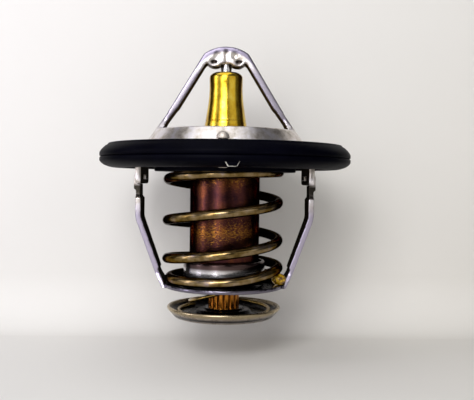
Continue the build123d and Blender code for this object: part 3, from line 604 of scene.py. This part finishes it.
def wind_spring(wire, sides, turns, place_at, start_deg):
    """Winds round wire with the Screw modifier, then opens each step to its own place.

    place_at gives the centre's x, the radius and the height for a number of turns wound.
    """
    deselect()
    bpy.ops.mesh.primitive_circle_add(vertices=sides, radius=wire / 2 * MM,
                                      rotation=(math.pi / 2, 0, 0), location=(MM, 0, 0))
    piece = bpy.context.object
    bpy.ops.object.transform_apply(location=True, rotation=True, scale=True)
    screw = piece.modifiers.new("winding", "SCREW")
    screw.axis = "Z"
    screw.angle = 2 * math.pi * turns
    screw.steps = screw.render_steps = round(WIRE_STEPS * turns)
    screw.use_merge_vertices = False
    steps = screw.steps
    bpy.ops.object.modifier_apply(modifier="winding")
    corners = [2 * math.pi * i / sides for i in range(sides)]
    section = [(math.cos(corner), math.sin(corner)) for corner in corners]
    for index, vertex in enumerate(piece.data.vertices):
        side = index % sides
        wound = turns * (index // sides) / steps
        angle = math.radians(start_deg + 360 * wound)
        centre_x, radius, height = place_at(wound)
        out = radius + wire / 2 * section[side][0]
        vertex.co = ((centre_x + out * math.cos(angle)) * MM, out * math.sin(angle) * MM,
                     (height + wire / 2 * section[side][1]) * MM)
    bpy.ops.object.mode_set(mode="EDIT")
    bpy.ops.mesh.select_all(action="SELECT")
    bpy.ops.mesh.fill_holes(sides=0)
    bpy.ops.mesh.select_all(action="SELECT")
    bpy.ops.mesh.normals_make_consistent(inside=False)
    bpy.ops.object.mode_set(mode="OBJECT")
    return piece


# ------------------------------------------------------------------ sizes read from the frame
def low_high(node):
    """A node's lowest and highest corner in millimetres."""
    low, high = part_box(node)
    return [c / MM for c in low], [c / MM for c in high]


def radius_of(node):
    """Half of a round node's width in millimetres."""
    low, high = low_high(node)
    return (high[0] - low[0]) / 2


def joint_range(name):
    """How far a sliding joint goes, in metres."""
    joints = frame["record"]["behaviour"]["joints"]
    return next(joint for joint in joints if joint["name"] == name)["range_m"][1]


# ------------------------------------------------------------------ sizes given here, in millimetres
SEAT_PLATE_BOTTOM = -1.3          # underside of the 1.3 mm lower flange plate
FLANGE_TOP = 1.1                  # upper side of the 1.1 mm upper flange plate

LUG_X = 1.37
LUG_WIDTH = 2.95
LUG_TIP_WIDTH = 1.6
LUG_DEPTH = 2.0
LUG_HEIGHT = 1.45
LUG_MIDDLE_Z = -1.675
LUG_SETBACK = 0.55                # from the gasket's rim back to the lug's front
LUG_EDGE = 0.14
PALE_LINE_TOP_Z = -1.2               # the pale line along the lug's three free edges
PALE_LINE_TOP_HALF = 1.44
PALE_LINE_TIP_HALF = 0.82
PALE_LINE_RADIUS = 0.1

PRESSINGS = (("upper_frame", "upper_frame_pressing", 0.25), ("lower_frame", "lower_frame_pressing", 0.2),
             ("seat_plate", "seat_plate_pressing", 0.26))        # node, piece, remesh grid
PRESSING_ROUNDS = 3               # rounds of smoothing that round the edges over

PISTON_TIP = 0.4                  # the tapered end's radius, as a share of the pin's
PISTON_TAPER = 4
PISTON_CHAMFER = 0.3

MAIN_WIRE = 2.2
MAIN_SIDES = 20
MAIN_TURNS = 4.4
MAIN_RADIUS = 12.25
MAIN_SWELL = 0.25                 # how much wider the free coils are
MAIN_LEAN = -0.4                  # how far to one side they stand
MAIN_START_DEG = -17.0
COIL_GAP = 0.1                    # between the lowest coil and the one that climbs over its end
DAB_SHAPE = (1.5, 1.35, 1.28)
DAB_PLACE = (12.25, -4.0, -26.72)
DAB_LUMPS = ((2.3, 0.1), (5.0, 0.05))           # how closely the lumps stand, and how high

BYPASS_WIRE = 0.9
BYPASS_SIDES = 14
BYPASS_TURNS = 2.0
BYPASS_WIDE = 10.2
BYPASS_NARROW = 4.6
BYPASS_START_DEG = 133.0

GUIDE_TOP = 19.3
GUIDE_BORE = 1.33
GUIDE_FLANGE = 1.8                # thickness of the flange that the capsule is crimped over
GUIDE_RECESS = 3.03               # recess in the guide's foot for the backup washer
GUIDE_RECESS_DEPTH = 0.9

CUP_WALL = 0.9
CUP_CRIMP = 0.87
CUP_MOUTH = 5.6
CUP_FLOOR = 1.9                   # floor of the wax room, above the capsule's underside
CUP_STEM_BORE = 2.43
CUP_STEM_DEPTH = 1.3
CUP_LOW_CORNER = 0.8
CUP_TOP_CORNER = 0.7

VALVE_SHEET = 0.9
VALVE_BORE = 5.23                 # hole in the plate and the collar, round the guide's foot
VALVE_WALL_IN = 13.4
VALVE_WALL_OUT = 14.3
VALVE_CORNER = 0.6
SEAL_IN_TOP = 14.33
SEAL_IN_LOW = 13.88
SEAL_CORNER = 0.25
COLLAR_CHAMFER = 0.3

FLUTES = 16
FLUTE_DEPTH = 0.3
FLUTED_FROM = 3.45                # only points further out than this are pressed in
STEM_CORE = 2.9
STEM_FOOT = 3.4
STEM_RADIUS = 3.5
STEM_TENON = 2.4
STEM_TENON_LENGTH = 1.3
STEM_CLIP_Z = -34.8               # underside of the disc's hub, and top of the clip's groove
STEM_CLIP_HEIGHT = 0.45

DISC_SHEET = 0.8
DISC_BORE = 3.58
DISC_ROLL = 0.4
DISC_ROLL_RISE = 1.2

VENT_PIN = 0.6
VENT_HEAD = 1.3
VENT_BORE = 0.75
VENT_SPIGOT = 1.0
VENT_BUSH = 1.25
VENT_WEIGHT = 1.6
VENT_WEIGHT_BORE = 0.63


# ------------------------------------------------------------------ pieces on the frame body
def make_gasket():
    """Rim gasket: two lips, rounded nose with a parting groove, a step round the upper face."""
    rim = radius_of("gasket")
    low, high = low_high("gasket")
    bottom, top = low[2], high[2]
    lip = rim - 5.3
    slot_r = rim - 2.4
    step_r = rim - 1.8
    nose_upper = [(step_r, top - 0.3), (rim - 1.25, top - 0.62), (rim - 0.72, top - 1.1),
                  (rim - 0.28, top - 1.62), (rim - 0.06, 0.98)]
    groove = [(rim, 0.75), (rim, 0.24), (rim - 0.1, 0.12), (rim - 0.35, 0.0), (rim - 0.1, -0.12),
              (rim, -0.24), (rim, -0.75)]
    nose_lower = [(rim - 0.1, -1.02), (rim - 0.45, -1.42), (rim - 1.05, bottom + 0.58),
                  (rim - 1.9, bottom + 0.26), (rim - 2.8, bottom + 0.06), (rim - 3.5, bottom)]
    inside = [(lip + 0.3, bottom), (lip, bottom + 0.3), (lip, SEAT_PLATE_BOTTOM),
              (slot_r, SEAT_PLATE_BOTTOM), (slot_r, FLANGE_TOP), (lip, FLANGE_TOP), (lip, top - 0.5),
              (lip + 0.14, top - 0.15), (lip + 0.5, top), (step_r - 0.45, top), (step_r - 0.15, top - 0.06)]
    piece = lathe(nose_upper + groove + nose_lower + inside, steps=192)
    settle(piece, "rim_gasket", "frame", RUBBER, smooth_deg=50)
    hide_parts("gasket")
    make_gasket_lug(rim, bottom)


def make_gasket_lug(rim, bottom):
    """Locating lug under the front of the ring, with a pale line along its three free edges."""
    front_y = -(rim - LUG_SETBACK)
    middle = (LUG_X * MM, (front_y + LUG_DEPTH / 2) * MM, LUG_MIDDLE_Z * MM)
    deselect()
    bpy.ops.mesh.primitive_cube_add(size=MM, location=middle, scale=(LUG_WIDTH, LUG_DEPTH, LUG_HEIGHT))
    lug = bpy.context.object
    bpy.ops.object.transform_apply(location=True, rotation=True, scale=True)
    for vertex in lug.data.vertices:
        if vertex.co.z < LUG_MIDDLE_Z * MM:
            vertex.co.x = LUG_X * MM + (vertex.co.x - LUG_X * MM) * LUG_TIP_WIDTH / LUG_WIDTH
            vertex.co.z = (bottom + 0.02) * MM
    bpy.ops.object.mode_set(mode="EDIT")
    bpy.ops.mesh.select_all(action="SELECT")
    bpy.ops.mesh.bevel(offset=LUG_EDGE * MM, segments=3, affect="EDGES")
    settle(lug, "gasket_locating_lug", "frame", RUBBER, smooth_deg=50)

    tip_z = bottom + 0.16
    line = [(-PALE_LINE_TOP_HALF, PALE_LINE_TOP_Z), (-PALE_LINE_TIP_HALF, tip_z), (PALE_LINE_TIP_HALF, tip_z),
            (PALE_LINE_TOP_HALF, PALE_LINE_TOP_Z)]
    edge = rod_through([(LUG_X + x, front_y - 0.01, z) for x, z in line], PALE_LINE_RADIUS)
    settle(edge, "lug_pale_edge_line", "frame", PALE_LINE, smooth_deg=50)


def make_pressings():
    """Upper frame, seat plate and lower frame, with the rounded edges that pressing leaves."""
    for node, name, voxel_mm in PRESSINGS:
        piece = soften_pressing(node, voxel_mm, PRESSING_ROUNDS)
        settle(piece, name, "frame", STAINLESS, smooth_deg=60)
        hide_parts(node)


def make_piston():
    """Ground pin between the crown and the guide."""
    radius = radius_of("piston")
    low, high = low_high("piston")
    outline = [(0, low[2]), (radius * PISTON_TIP, low[2]), (radius, low[2] + PISTON_TAPER),
               (radius, high[2] - PISTON_CHAMFER), (radius - PISTON_CHAMFER, high[2]), (0, high[2])]
    piece = lathe(outline, steps=48)
    settle(piece, "piston_pin", "frame", GROUND)
    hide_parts("piston")


def make_main_spring():
    """Main spring: a flat coil on the floor, then open coils that lean a little to one side."""
    low, high = low_high("main_spring")
    floor_z, top_z = round(low[2], 1), round(high[2], 1)
    low_z = floor_z + MAIN_WIRE / 2
    rise = top_z - floor_z - MAIN_WIRE
    over_end = MAIN_WIRE + COIL_GAP
    heights = [(0, 0), (0.55, 0), (0.78, 0.12 * over_end), (1, over_end), (1.55, 0.18 * rise),
               (2.05, 0.364 * rise), (2.55, 0.537 * rise), (3.05, 0.72 * rise), (3.55, 0.925 * rise),
               (3.8, 0.98 * rise), (4.05, rise), (MAIN_TURNS, rise)]
    swells = [(0, 0), (0.8, 0), (1.4, 1), (3.45, 1), (3.8, 0), (MAIN_TURNS, 0)]

    def place_at(wound):
        swell = eased(swells, wound)
        return MAIN_LEAN * swell, MAIN_RADIUS + MAIN_SWELL * swell, low_z + eased(heights, wound)

    piece = wind_spring(MAIN_WIRE, MAIN_SIDES, MAIN_TURNS, place_at, MAIN_START_DEG)
    settle(piece, "main_spring_wire", "frame", WIRE, smooth_deg=50)
    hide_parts("main_spring")
    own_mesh(piece)


def make_paint_dab():
    """Lump of yellow marking paint over the cut end of the main spring's lowest coil."""
    deselect()
    bpy.ops.mesh.primitive_ico_sphere_add(subdivisions=4, radius=MM)
    dab = bpy.context.object
    for vertex in dab.data.vertices:
        lump = vertex.co.normalized()
        swell = 1 + sum(rise * turbulence.noise(lump * often) for often, rise in DAB_LUMPS)
        vertex.co = lump * swell * MM
    bpy.ops.transform.resize(value=DAB_SHAPE)
    bpy.ops.transform.rotate(value=math.radians(MAIN_START_DEG), orient_axis="Z", center_override=(0, 0, 0))
    bpy.ops.transform.translate(value=[c * MM for c in DAB_PLACE])
    settle(dab, "paint_dab_on_spring", "frame", PAINT, smooth_deg=80)


# ------------------------------------------------- pieces on the moving bodies, with the vent's bush
def make_bypass_spring():
    """Conical spring: one wide coil in the disc's trough, then a steep climb to the capsule."""
    low, high = low_high("bypass_spring")
    bottom_z, top_z = round(low[2], 1), round(high[2], 1)
    low_z = bottom_z + BYPASS_WIRE / 2
    rise = top_z - bottom_z - BYPASS_WIRE
    heights = [(0, 0), (0.4, 0), (0.7, 0.065 * rise), (0.94, 0.18 * rise), (1.1, 0.25 * rise),
               (1.38, 0.7 * rise), (1.6, 0.91 * rise), (1.8, rise), (BYPASS_TURNS, rise)]
    shares = [(0, 0), (0.82, 0), (0.98, 0.14), (1.14, 0.5), (1.38, 0.75), (1.65, 0.95), (BYPASS_TURNS, 1)]

    def place_at(wound):
        radius = BYPASS_WIDE + (BYPASS_NARROW - BYPASS_WIDE) * eased(shares, wound)
        return 0, radius, low_z + eased(heights, wound)

    piece = wind_spring(BYPASS_WIRE, BYPASS_SIDES, BYPASS_TURNS, place_at, BYPASS_START_DEG)
    settle(piece, "bypass_spring_wire", "valve", STRAW, smooth_deg=50)
    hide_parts("bypass_spring")
    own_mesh(piece)


def make_guide():
    """Turned guide: rounded nose, waist, flared skirt with one fine groove, hub and flange."""
    bottom, top = round(low_high("guide")[0][2], 2), GUIDE_TOP
    flange_r = radius_of("guide")
    nose = [(GUIDE_BORE, top), (2.2, top - 0.02), (2.75, top - 0.13), (3.2, top - 0.34), (3.52, top - 0.64),
            (3.7, top - 1.0), (3.75, top - 1.4)]
    skirt = [(3.73, top - 2.4), (3.72, top - 3.4), (3.75, top - 4.4), (3.83, top - 5.6),
             (3.97, top - 7.0), (4.21, top - 8.5), (4.46, top - 10.2), (4.58, top - 10.86),
             (4.47, top - 10.94), (4.47, top - 11.06), (4.62, top - 11.14), (4.8, top - 12.5),
             (4.84, 3.0), (4.88, 1.2), (5.2, 0.6), (5.2, bottom + GUIDE_FLANGE),
             (flange_r, bottom + GUIDE_FLANGE), (flange_r, bottom), (GUIDE_RECESS, bottom),
             (GUIDE_RECESS, bottom + GUIDE_RECESS_DEPTH), (GUIDE_BORE, bottom + GUIDE_RECESS_DEPTH)]
    piece = lathe(nose + skirt, steps=128)
    settle(piece, "guide_turned", "valve", BRASS, smooth_deg=32)
    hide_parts("guide")


def make_capsule():
    """Drawn cup with rounded corners, crimped over the guide's flange."""
    radius = radius_of("capsule")
    low, high = low_high("capsule")
    bottom, top = low[2], high[2]
    inner = radius - CUP_WALL
    outline = ([(CUP_STEM_BORE, bottom)]
               + arc((radius - CUP_LOW_CORNER, bottom + CUP_LOW_CORNER), CUP_LOW_CORNER, 270, 360, 6)
               + arc((radius - CUP_TOP_CORNER, top - CUP_TOP_CORNER), CUP_TOP_CORNER, 0, 90, 6)
               + [(CUP_MOUTH, top), (CUP_MOUTH, top - CUP_CRIMP), (inner, top - CUP_CRIMP),
                  (inner, bottom + CUP_FLOOR), (0, bottom + CUP_FLOOR), (0, bottom + CUP_STEM_DEPTH),
                  (CUP_STEM_BORE, bottom + CUP_STEM_DEPTH)])
    piece = lathe(outline, steps=128)
    settle(piece, "capsule_cup", "valve", COPPER)
    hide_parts("capsule")


def make_main_valve():
    """Valve plate, the rubber moulded round its rim and the collar that holds it."""
    low, high = low_high("valve_plate")
    bottom, top, rim = low[2], high[2], radius_of("valve_plate")
    plate = ([(VALVE_BORE, top - VALVE_SHEET), (VALVE_WALL_IN, top - VALVE_SHEET), (VALVE_WALL_IN, bottom),
              (rim, bottom), (rim, bottom + VALVE_SHEET), (VALVE_WALL_OUT, bottom + VALVE_SHEET)]
             + arc((VALVE_WALL_OUT - VALVE_CORNER, top - VALVE_CORNER), VALVE_CORNER, 0, 90, 5)
             + [(VALVE_BORE, top)])
    piece = lathe(plate, steps=128)
    settle(piece, "valve_plate_hat", "valve", STAINLESS)
    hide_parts("valve_plate")

    low, high = low_high("valve_seal")
    under, over, edge = low[2], high[2], radius_of("valve_seal")
    rubber = ([(SEAL_IN_TOP, bottom + VALVE_SHEET), (SEAL_IN_TOP, over)]
              + arc((edge - SEAL_CORNER, over - SEAL_CORNER), SEAL_CORNER, 90, 0, 4)
              + arc((edge - SEAL_CORNER, under + SEAL_CORNER), SEAL_CORNER, 0, -90, 4)
              + [(SEAL_IN_LOW, under), (SEAL_IN_LOW, bottom), (rim, bottom), (rim, bottom + VALVE_SHEET)])
    piece = lathe(rubber, steps=128)
    settle(piece, "valve_rubber_ring", "valve", RUBBER)
    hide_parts("valve_seal")

    low, high = low_high("valve_collar")
    out = radius_of("valve_collar")
    collar = [(VALVE_BORE, low[2]), (out, low[2]), (out, high[2] - COLLAR_CHAMFER),
              (out - COLLAR_CHAMFER / 3, high[2] - COLLAR_CHAMFER / 3), (out - COLLAR_CHAMFER, high[2]),
              (VALVE_BORE, high[2])]
    piece = lathe(collar, steps=96)
    settle(piece, "valve_collar_ring", "valve", BRASS)
    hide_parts("valve_collar")


def make_stem():
    """Fluted stem under the capsule: a finely divided bar with the clip's groove and pressed flutes."""
    low, high = low_high("bypass_stem")
    shoulder_z = high[2] - STEM_TENON_LENGTH
    groove_z = STEM_CLIP_Z - STEM_CLIP_HEIGHT
    heights = [STEM_CLIP_Z + 0.02, STEM_CLIP_Z + 0.2, STEM_CLIP_Z + 0.35, shoulder_z - 0.8, shoulder_z - 0.6,
               shoulder_z]
    outline = ([(0, low[2]), (STEM_CORE, low[2]), (STEM_FOOT, low[2] + 0.1), (STEM_FOOT, groove_z),
                (STEM_CORE, groove_z), (STEM_CORE, STEM_CLIP_Z)] + [(STEM_RADIUS, z) for z in heights]
               + [(STEM_TENON, shoulder_z), (STEM_TENON, high[2]), (0, high[2])])
    piece = lathe(outline, steps=FLUTES * 12)
    bpy.ops.object.mode_set(mode="OBJECT")
    for vertex in piece.data.vertices:
        out = math.hypot(vertex.co.x, vertex.co.y) / MM
        height = vertex.co.z / MM
        if out < FLUTED_FROM or not STEM_CLIP_Z + 0.3 < height < shoulder_z - 0.7:
            continue
        wave = 0.5 + 0.5 * math.cos(FLUTES * math.atan2(vertex.co.y, vertex.co.x))
        shrink = 1 - FLUTE_DEPTH * wave ** 3 / out
        vertex.co.x *= shrink
        vertex.co.y *= shrink
    settle(piece, "bypass_stem_fluted", "valve", BRONZE, smooth_deg=60)
    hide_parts("bypass_stem")


def make_bypass_disc():
    """Dished disc with a raised hub and a rolled rim."""
    rim = radius_of("bypass_disc")
    bottom = low_high("bypass_disc")[0][2]
    trough = bottom + DISC_SHEET
    roll_z = trough + DISC_ROLL_RISE
    outline = ([(DISC_BORE, trough), (5.5, trough), (5.75, trough - 0.06), (6.35, bottom + 0.08),
                (6.6, bottom), (10.9, bottom), (11.2, bottom + 0.1)]
               + arc((rim - DISC_ROLL, roll_z), DISC_ROLL, -50, 190, 12)
               + [(rim - 0.95, roll_z - 0.35), (10.75, trough + 0.12), (10.4, trough), (6.8, trough),
                  (6.5, trough + 0.08), (5.9, trough + 0.72), (5.6, trough + DISC_SHEET),
                  (DISC_BORE, trough + DISC_SHEET)])
    piece = lathe(outline, steps=160)
    settle(piece, "bypass_disc_dished", "bypass_valve", TINTED)
    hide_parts("bypass_disc")


def make_jiggle_valve():
    """Vent pin hanging in its bush, with the tapered weight below."""
    low, high = low_high("jiggle_pin")
    centre_x, centre_y = (low[0] + high[0]) / 2, (low[1] + high[1]) / 2
    bush_top = low_high("jiggle_bush")[1][2]
    weight_low, weight_high = low_high("jiggle_weight")
    tip, crown = low[2], high[2]
    pin = [(0, tip), (VENT_PIN, tip), (VENT_PIN, bush_top + 0.05), (VENT_HEAD - 0.05, bush_top + 0.05),
           (VENT_HEAD, bush_top + 0.12), (VENT_HEAD, bush_top + 0.42), (1.22, bush_top + 0.8),
           (0.94, bush_top + 1.15), (0.52, crown - 0.07), (0, crown)]
    bush = [(VENT_BORE, 0), (VENT_SPIGOT, 0), (VENT_SPIGOT, FLANGE_TOP), (VENT_BUSH, FLANGE_TOP),
            (VENT_BUSH, bush_top - 0.3), (1.16, bush_top - 0.09), (0.95, bush_top), (VENT_BORE, bush_top)]
    taper_bottom, taper_top = weight_low[2], weight_high[2]
    weight = [(VENT_WEIGHT_BORE, taper_bottom), (0.8, taper_bottom), (0.9, taper_bottom + 0.08),
              (VENT_WEIGHT - 0.05, taper_top - 0.3), (VENT_WEIGHT, taper_top - 0.2),
              (VENT_WEIGHT, taper_top), (VENT_WEIGHT_BORE, taper_top)]
    for node, name, outline, body in (("jiggle_pin", "vent_pin", pin, "jiggle"),
                                      ("jiggle_bush", "vent_bush", bush, "frame"),
                                      ("jiggle_weight", "vent_weight", weight, "jiggle")):
        piece = lathe(outline, steps=48)
        bpy.ops.object.mode_set(mode="OBJECT")
        piece.location = (centre_x * MM, centre_y * MM, 0)
        settle(piece, name, body, DULL)
        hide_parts(node)


def finish_hidden_nodes():
    """Real finishes on the nodes whose own mesh shows through a gap or not at all."""
    finishes = {"guide_seal": RUBBER, "rubber_sleeve": RUBBER, "backup_washer": BRASS, "wax_charge": WAX,
                "bypass_washer": TINTED, "retaining_clip": WIRE}
    for node, material in finishes.items():
        mesh = frame["nodes"][node].data
        mesh.materials.clear()
        mesh.materials.append(material)


# ------------------------------------------------------------------ camera, stage and light
# Places and sizes in millimetres
SENSOR_WIDTH = 36.0
FOCAL_PIXELS = 720                # focal length, in pixels of a view VIEW_PIXELS wide
VIEW_PIXELS = 474
CAMERA_PLACE = (0, -163, -4.8)
CAMERA_DOWN_DEG = 1.6
CAMERA_RIGHT_DEG = 0.95
CAMERA_ROLL_DEG = -0.69

FLOOR_GAP = 0.3                   # from the open valve's lowest point down to the floor
FLOOR_FRONT = -1200
FLOOR_BACK = 1400
FLOOR_HALF = 1600
FLOOR_OVERLAP = 0.2               # how far the floor behind lies under the one in front
PAPER_Y = 31
PAPER_HALF = 70
PAPER_TOP = 62
PAPER_BEND = 14
PAPER_BEND_STEPS = 12
PAPER_COOL_TO_WARM = (-90, 110)

LAMP_TARGET = (0, 0, -5)
# Panel, place, size, brightness in a mirror, colour
PANELS = (
    ("key_softbox", (-48, -266, 138), (135, 135), 8.6, "#FFFFFF"),
    ("ceiling", (-40, -60, 260), (260, 260), 1.5, "#FFFFFF"),
    ("side_window", (-265, -65, 60), (210, 160), 1.1, "#FBFBFF"),
    ("side_strip", (-262, -76, 50), (26, 230), 7.0, "#F4F0FF"),
    ("left_window", (-105, -250, 60), (190, 160), 1.35, "#FFFFFF"),
    ("left_strip", (-112, -246, 50), (26, 230), 7.0, "#FBF8FF"),
    ("right_window", (185, -195, 60), (220, 160), 0.75, "#FFFDF6"),
)


def make_camera():
    """A close camera level with the gap under the gasket, tipped a little down and right."""
    camera = bpy.data.cameras.new("camera")
    camera.sensor_width = SENSOR_WIDTH
    camera.lens = FOCAL_PIXELS / VIEW_PIXELS * SENSOR_WIDTH
    eye = bpy.data.objects.new("camera", camera)
    bpy.context.collection.objects.link(eye)
    eye.location = [c * MM for c in CAMERA_PLACE]
    turns_deg = (90 - CAMERA_DOWN_DEG, CAMERA_ROLL_DEG, -CAMERA_RIGHT_DEG)
    eye.rotation_euler = [math.radians(turn) for turn in turns_deg]
    bpy.context.scene.camera = eye


def make_stage():
    """A wide pale floor below the open valve's reach, and a sheet of paper that rises close behind."""
    floor_z = (CAD_BOUNDS[0][2] - joint_range("main_lift")) / MM - FLOOR_GAP
    foot_y = PAPER_Y - PAPER_BEND
    bend = arc((foot_y, floor_z + PAPER_BEND), PAPER_BEND, -90, 0, PAPER_BEND_STEPS)
    lower_z = floor_z - FLOOR_OVERLAP
    strip("paper_floor", [(FLOOR_FRONT, floor_z), (foot_y, floor_z)], FLOOR_HALF)
    strip("floor_behind", [(foot_y, lower_z), (FLOOR_BACK, lower_z)], FLOOR_HALF)
    strip("paper_sheet", bend + [(PAPER_Y, PAPER_TOP)], PAPER_HALF)


def strip(name, line, half_width):
    """A flat or bent sheet of the stage through (y, z) points, in millimetres."""
    mesh = bpy.data.meshes.new(name)
    vertices = [(x * MM, y * MM, z * MM) for y, z in line for x in (-half_width, half_width)]
    faces = [(2 * i, 2 * i + 1, 2 * i + 3, 2 * i + 2) for i in range(len(line) - 1)]
    mesh.from_pydata(vertices, [], faces)
    mesh.polygons.foreach_set("use_smooth", [True] * len(mesh.polygons))
    mesh.materials.append(PAPER)
    sheet = bpy.data.objects.new(name, mesh)
    bpy.context.collection.objects.link(sheet)


def paper_sweep():
    """Off-white matt paper, warmer to the lower right; clear when seen from behind."""
    material, tree, shader, place = new_material("off_white_paper")
    shader.inputs["Roughness"].default_value = 0.9
    shader.inputs["Specular IOR Level"].default_value = 0.1
    split = add(tree, "ShaderNodeSeparateXYZ", {"Vector": place})
    slant = math_node(tree, "SUBTRACT", split.outputs["X"], split.outputs["Z"])
    warmth = between(tree, slant, *PAPER_COOL_TO_WARM)
    paper = ramp(tree, warmth, (0.0, "#DEDCDA"), (0.5, "#DEDCD8"), (1.0, "#DEDBD5"))
    tree.links.new(paper, shader.inputs["Base Color"])
    behind = add(tree, "ShaderNodeNewGeometry").outputs["Backfacing"]
    clear = add(tree, "ShaderNodeBsdfTransparent")
    side = add(tree, "ShaderNodeMixShader", {"Fac": behind})
    tree.links.new(shader.outputs[0], side.inputs[1])
    tree.links.new(clear.outputs[0], side.inputs[2])
    tree.links.new(side.outputs[0], tree.nodes["Material Output"].inputs["Surface"])
    return material


def add_lamp(name, place, size, power, colour):
    """A rectangular soft panel aimed at the part; place and size in millimetres."""
    lamp = bpy.data.lights.new(name, "AREA")
    lamp.shape = "RECTANGLE"
    lamp.size, lamp.size_y = size[0] * MM, size[1] * MM
    lamp.energy = power
    lamp.color = srgb(colour)[:3]
    holder = bpy.data.objects.new(name, lamp)
    bpy.context.collection.objects.link(holder)
    holder.location = [c * MM for c in place]
    aim = (Vector(LAMP_TARGET) - Vector(place)) * MM
    holder.rotation_euler = aim.to_track_quat("-Z", "Y").to_euler()


def panel_power(size, radiance):
    """Power of a soft panel, in watts, that shows at a given brightness in a mirror."""
    return radiance * math.pi * size[0] * size[1] * MM * MM


def light_scene():
    """Key, ceiling, two left windows each with a bright strip, a dimmer right window, a dim room."""
    for name, place, size, radiance, colour in PANELS:
        add_lamp(name, place, size, panel_power(size, radiance), colour)
    world = bpy.context.scene.world or bpy.data.worlds.new("room")
    bpy.context.scene.world = world
    world.use_nodes = True
    world.node_tree.nodes["Background"].inputs["Color"].default_value = srgb("#4A4A4E")
    world.node_tree.nodes["Background"].inputs["Strength"].default_value = 1.0


PAPER = paper_sweep()
make_camera()
make_stage()
light_scene()
bpy.context.scene.view_settings.view_transform = "Standard"

make_gasket()
make_pressings()
make_piston()
make_main_spring()
make_bypass_spring()
make_guide()
make_capsule()
make_main_valve()
make_stem()
make_bypass_disc()
make_jiggle_valve()
make_paint_dab()
finish_hidden_nodes()
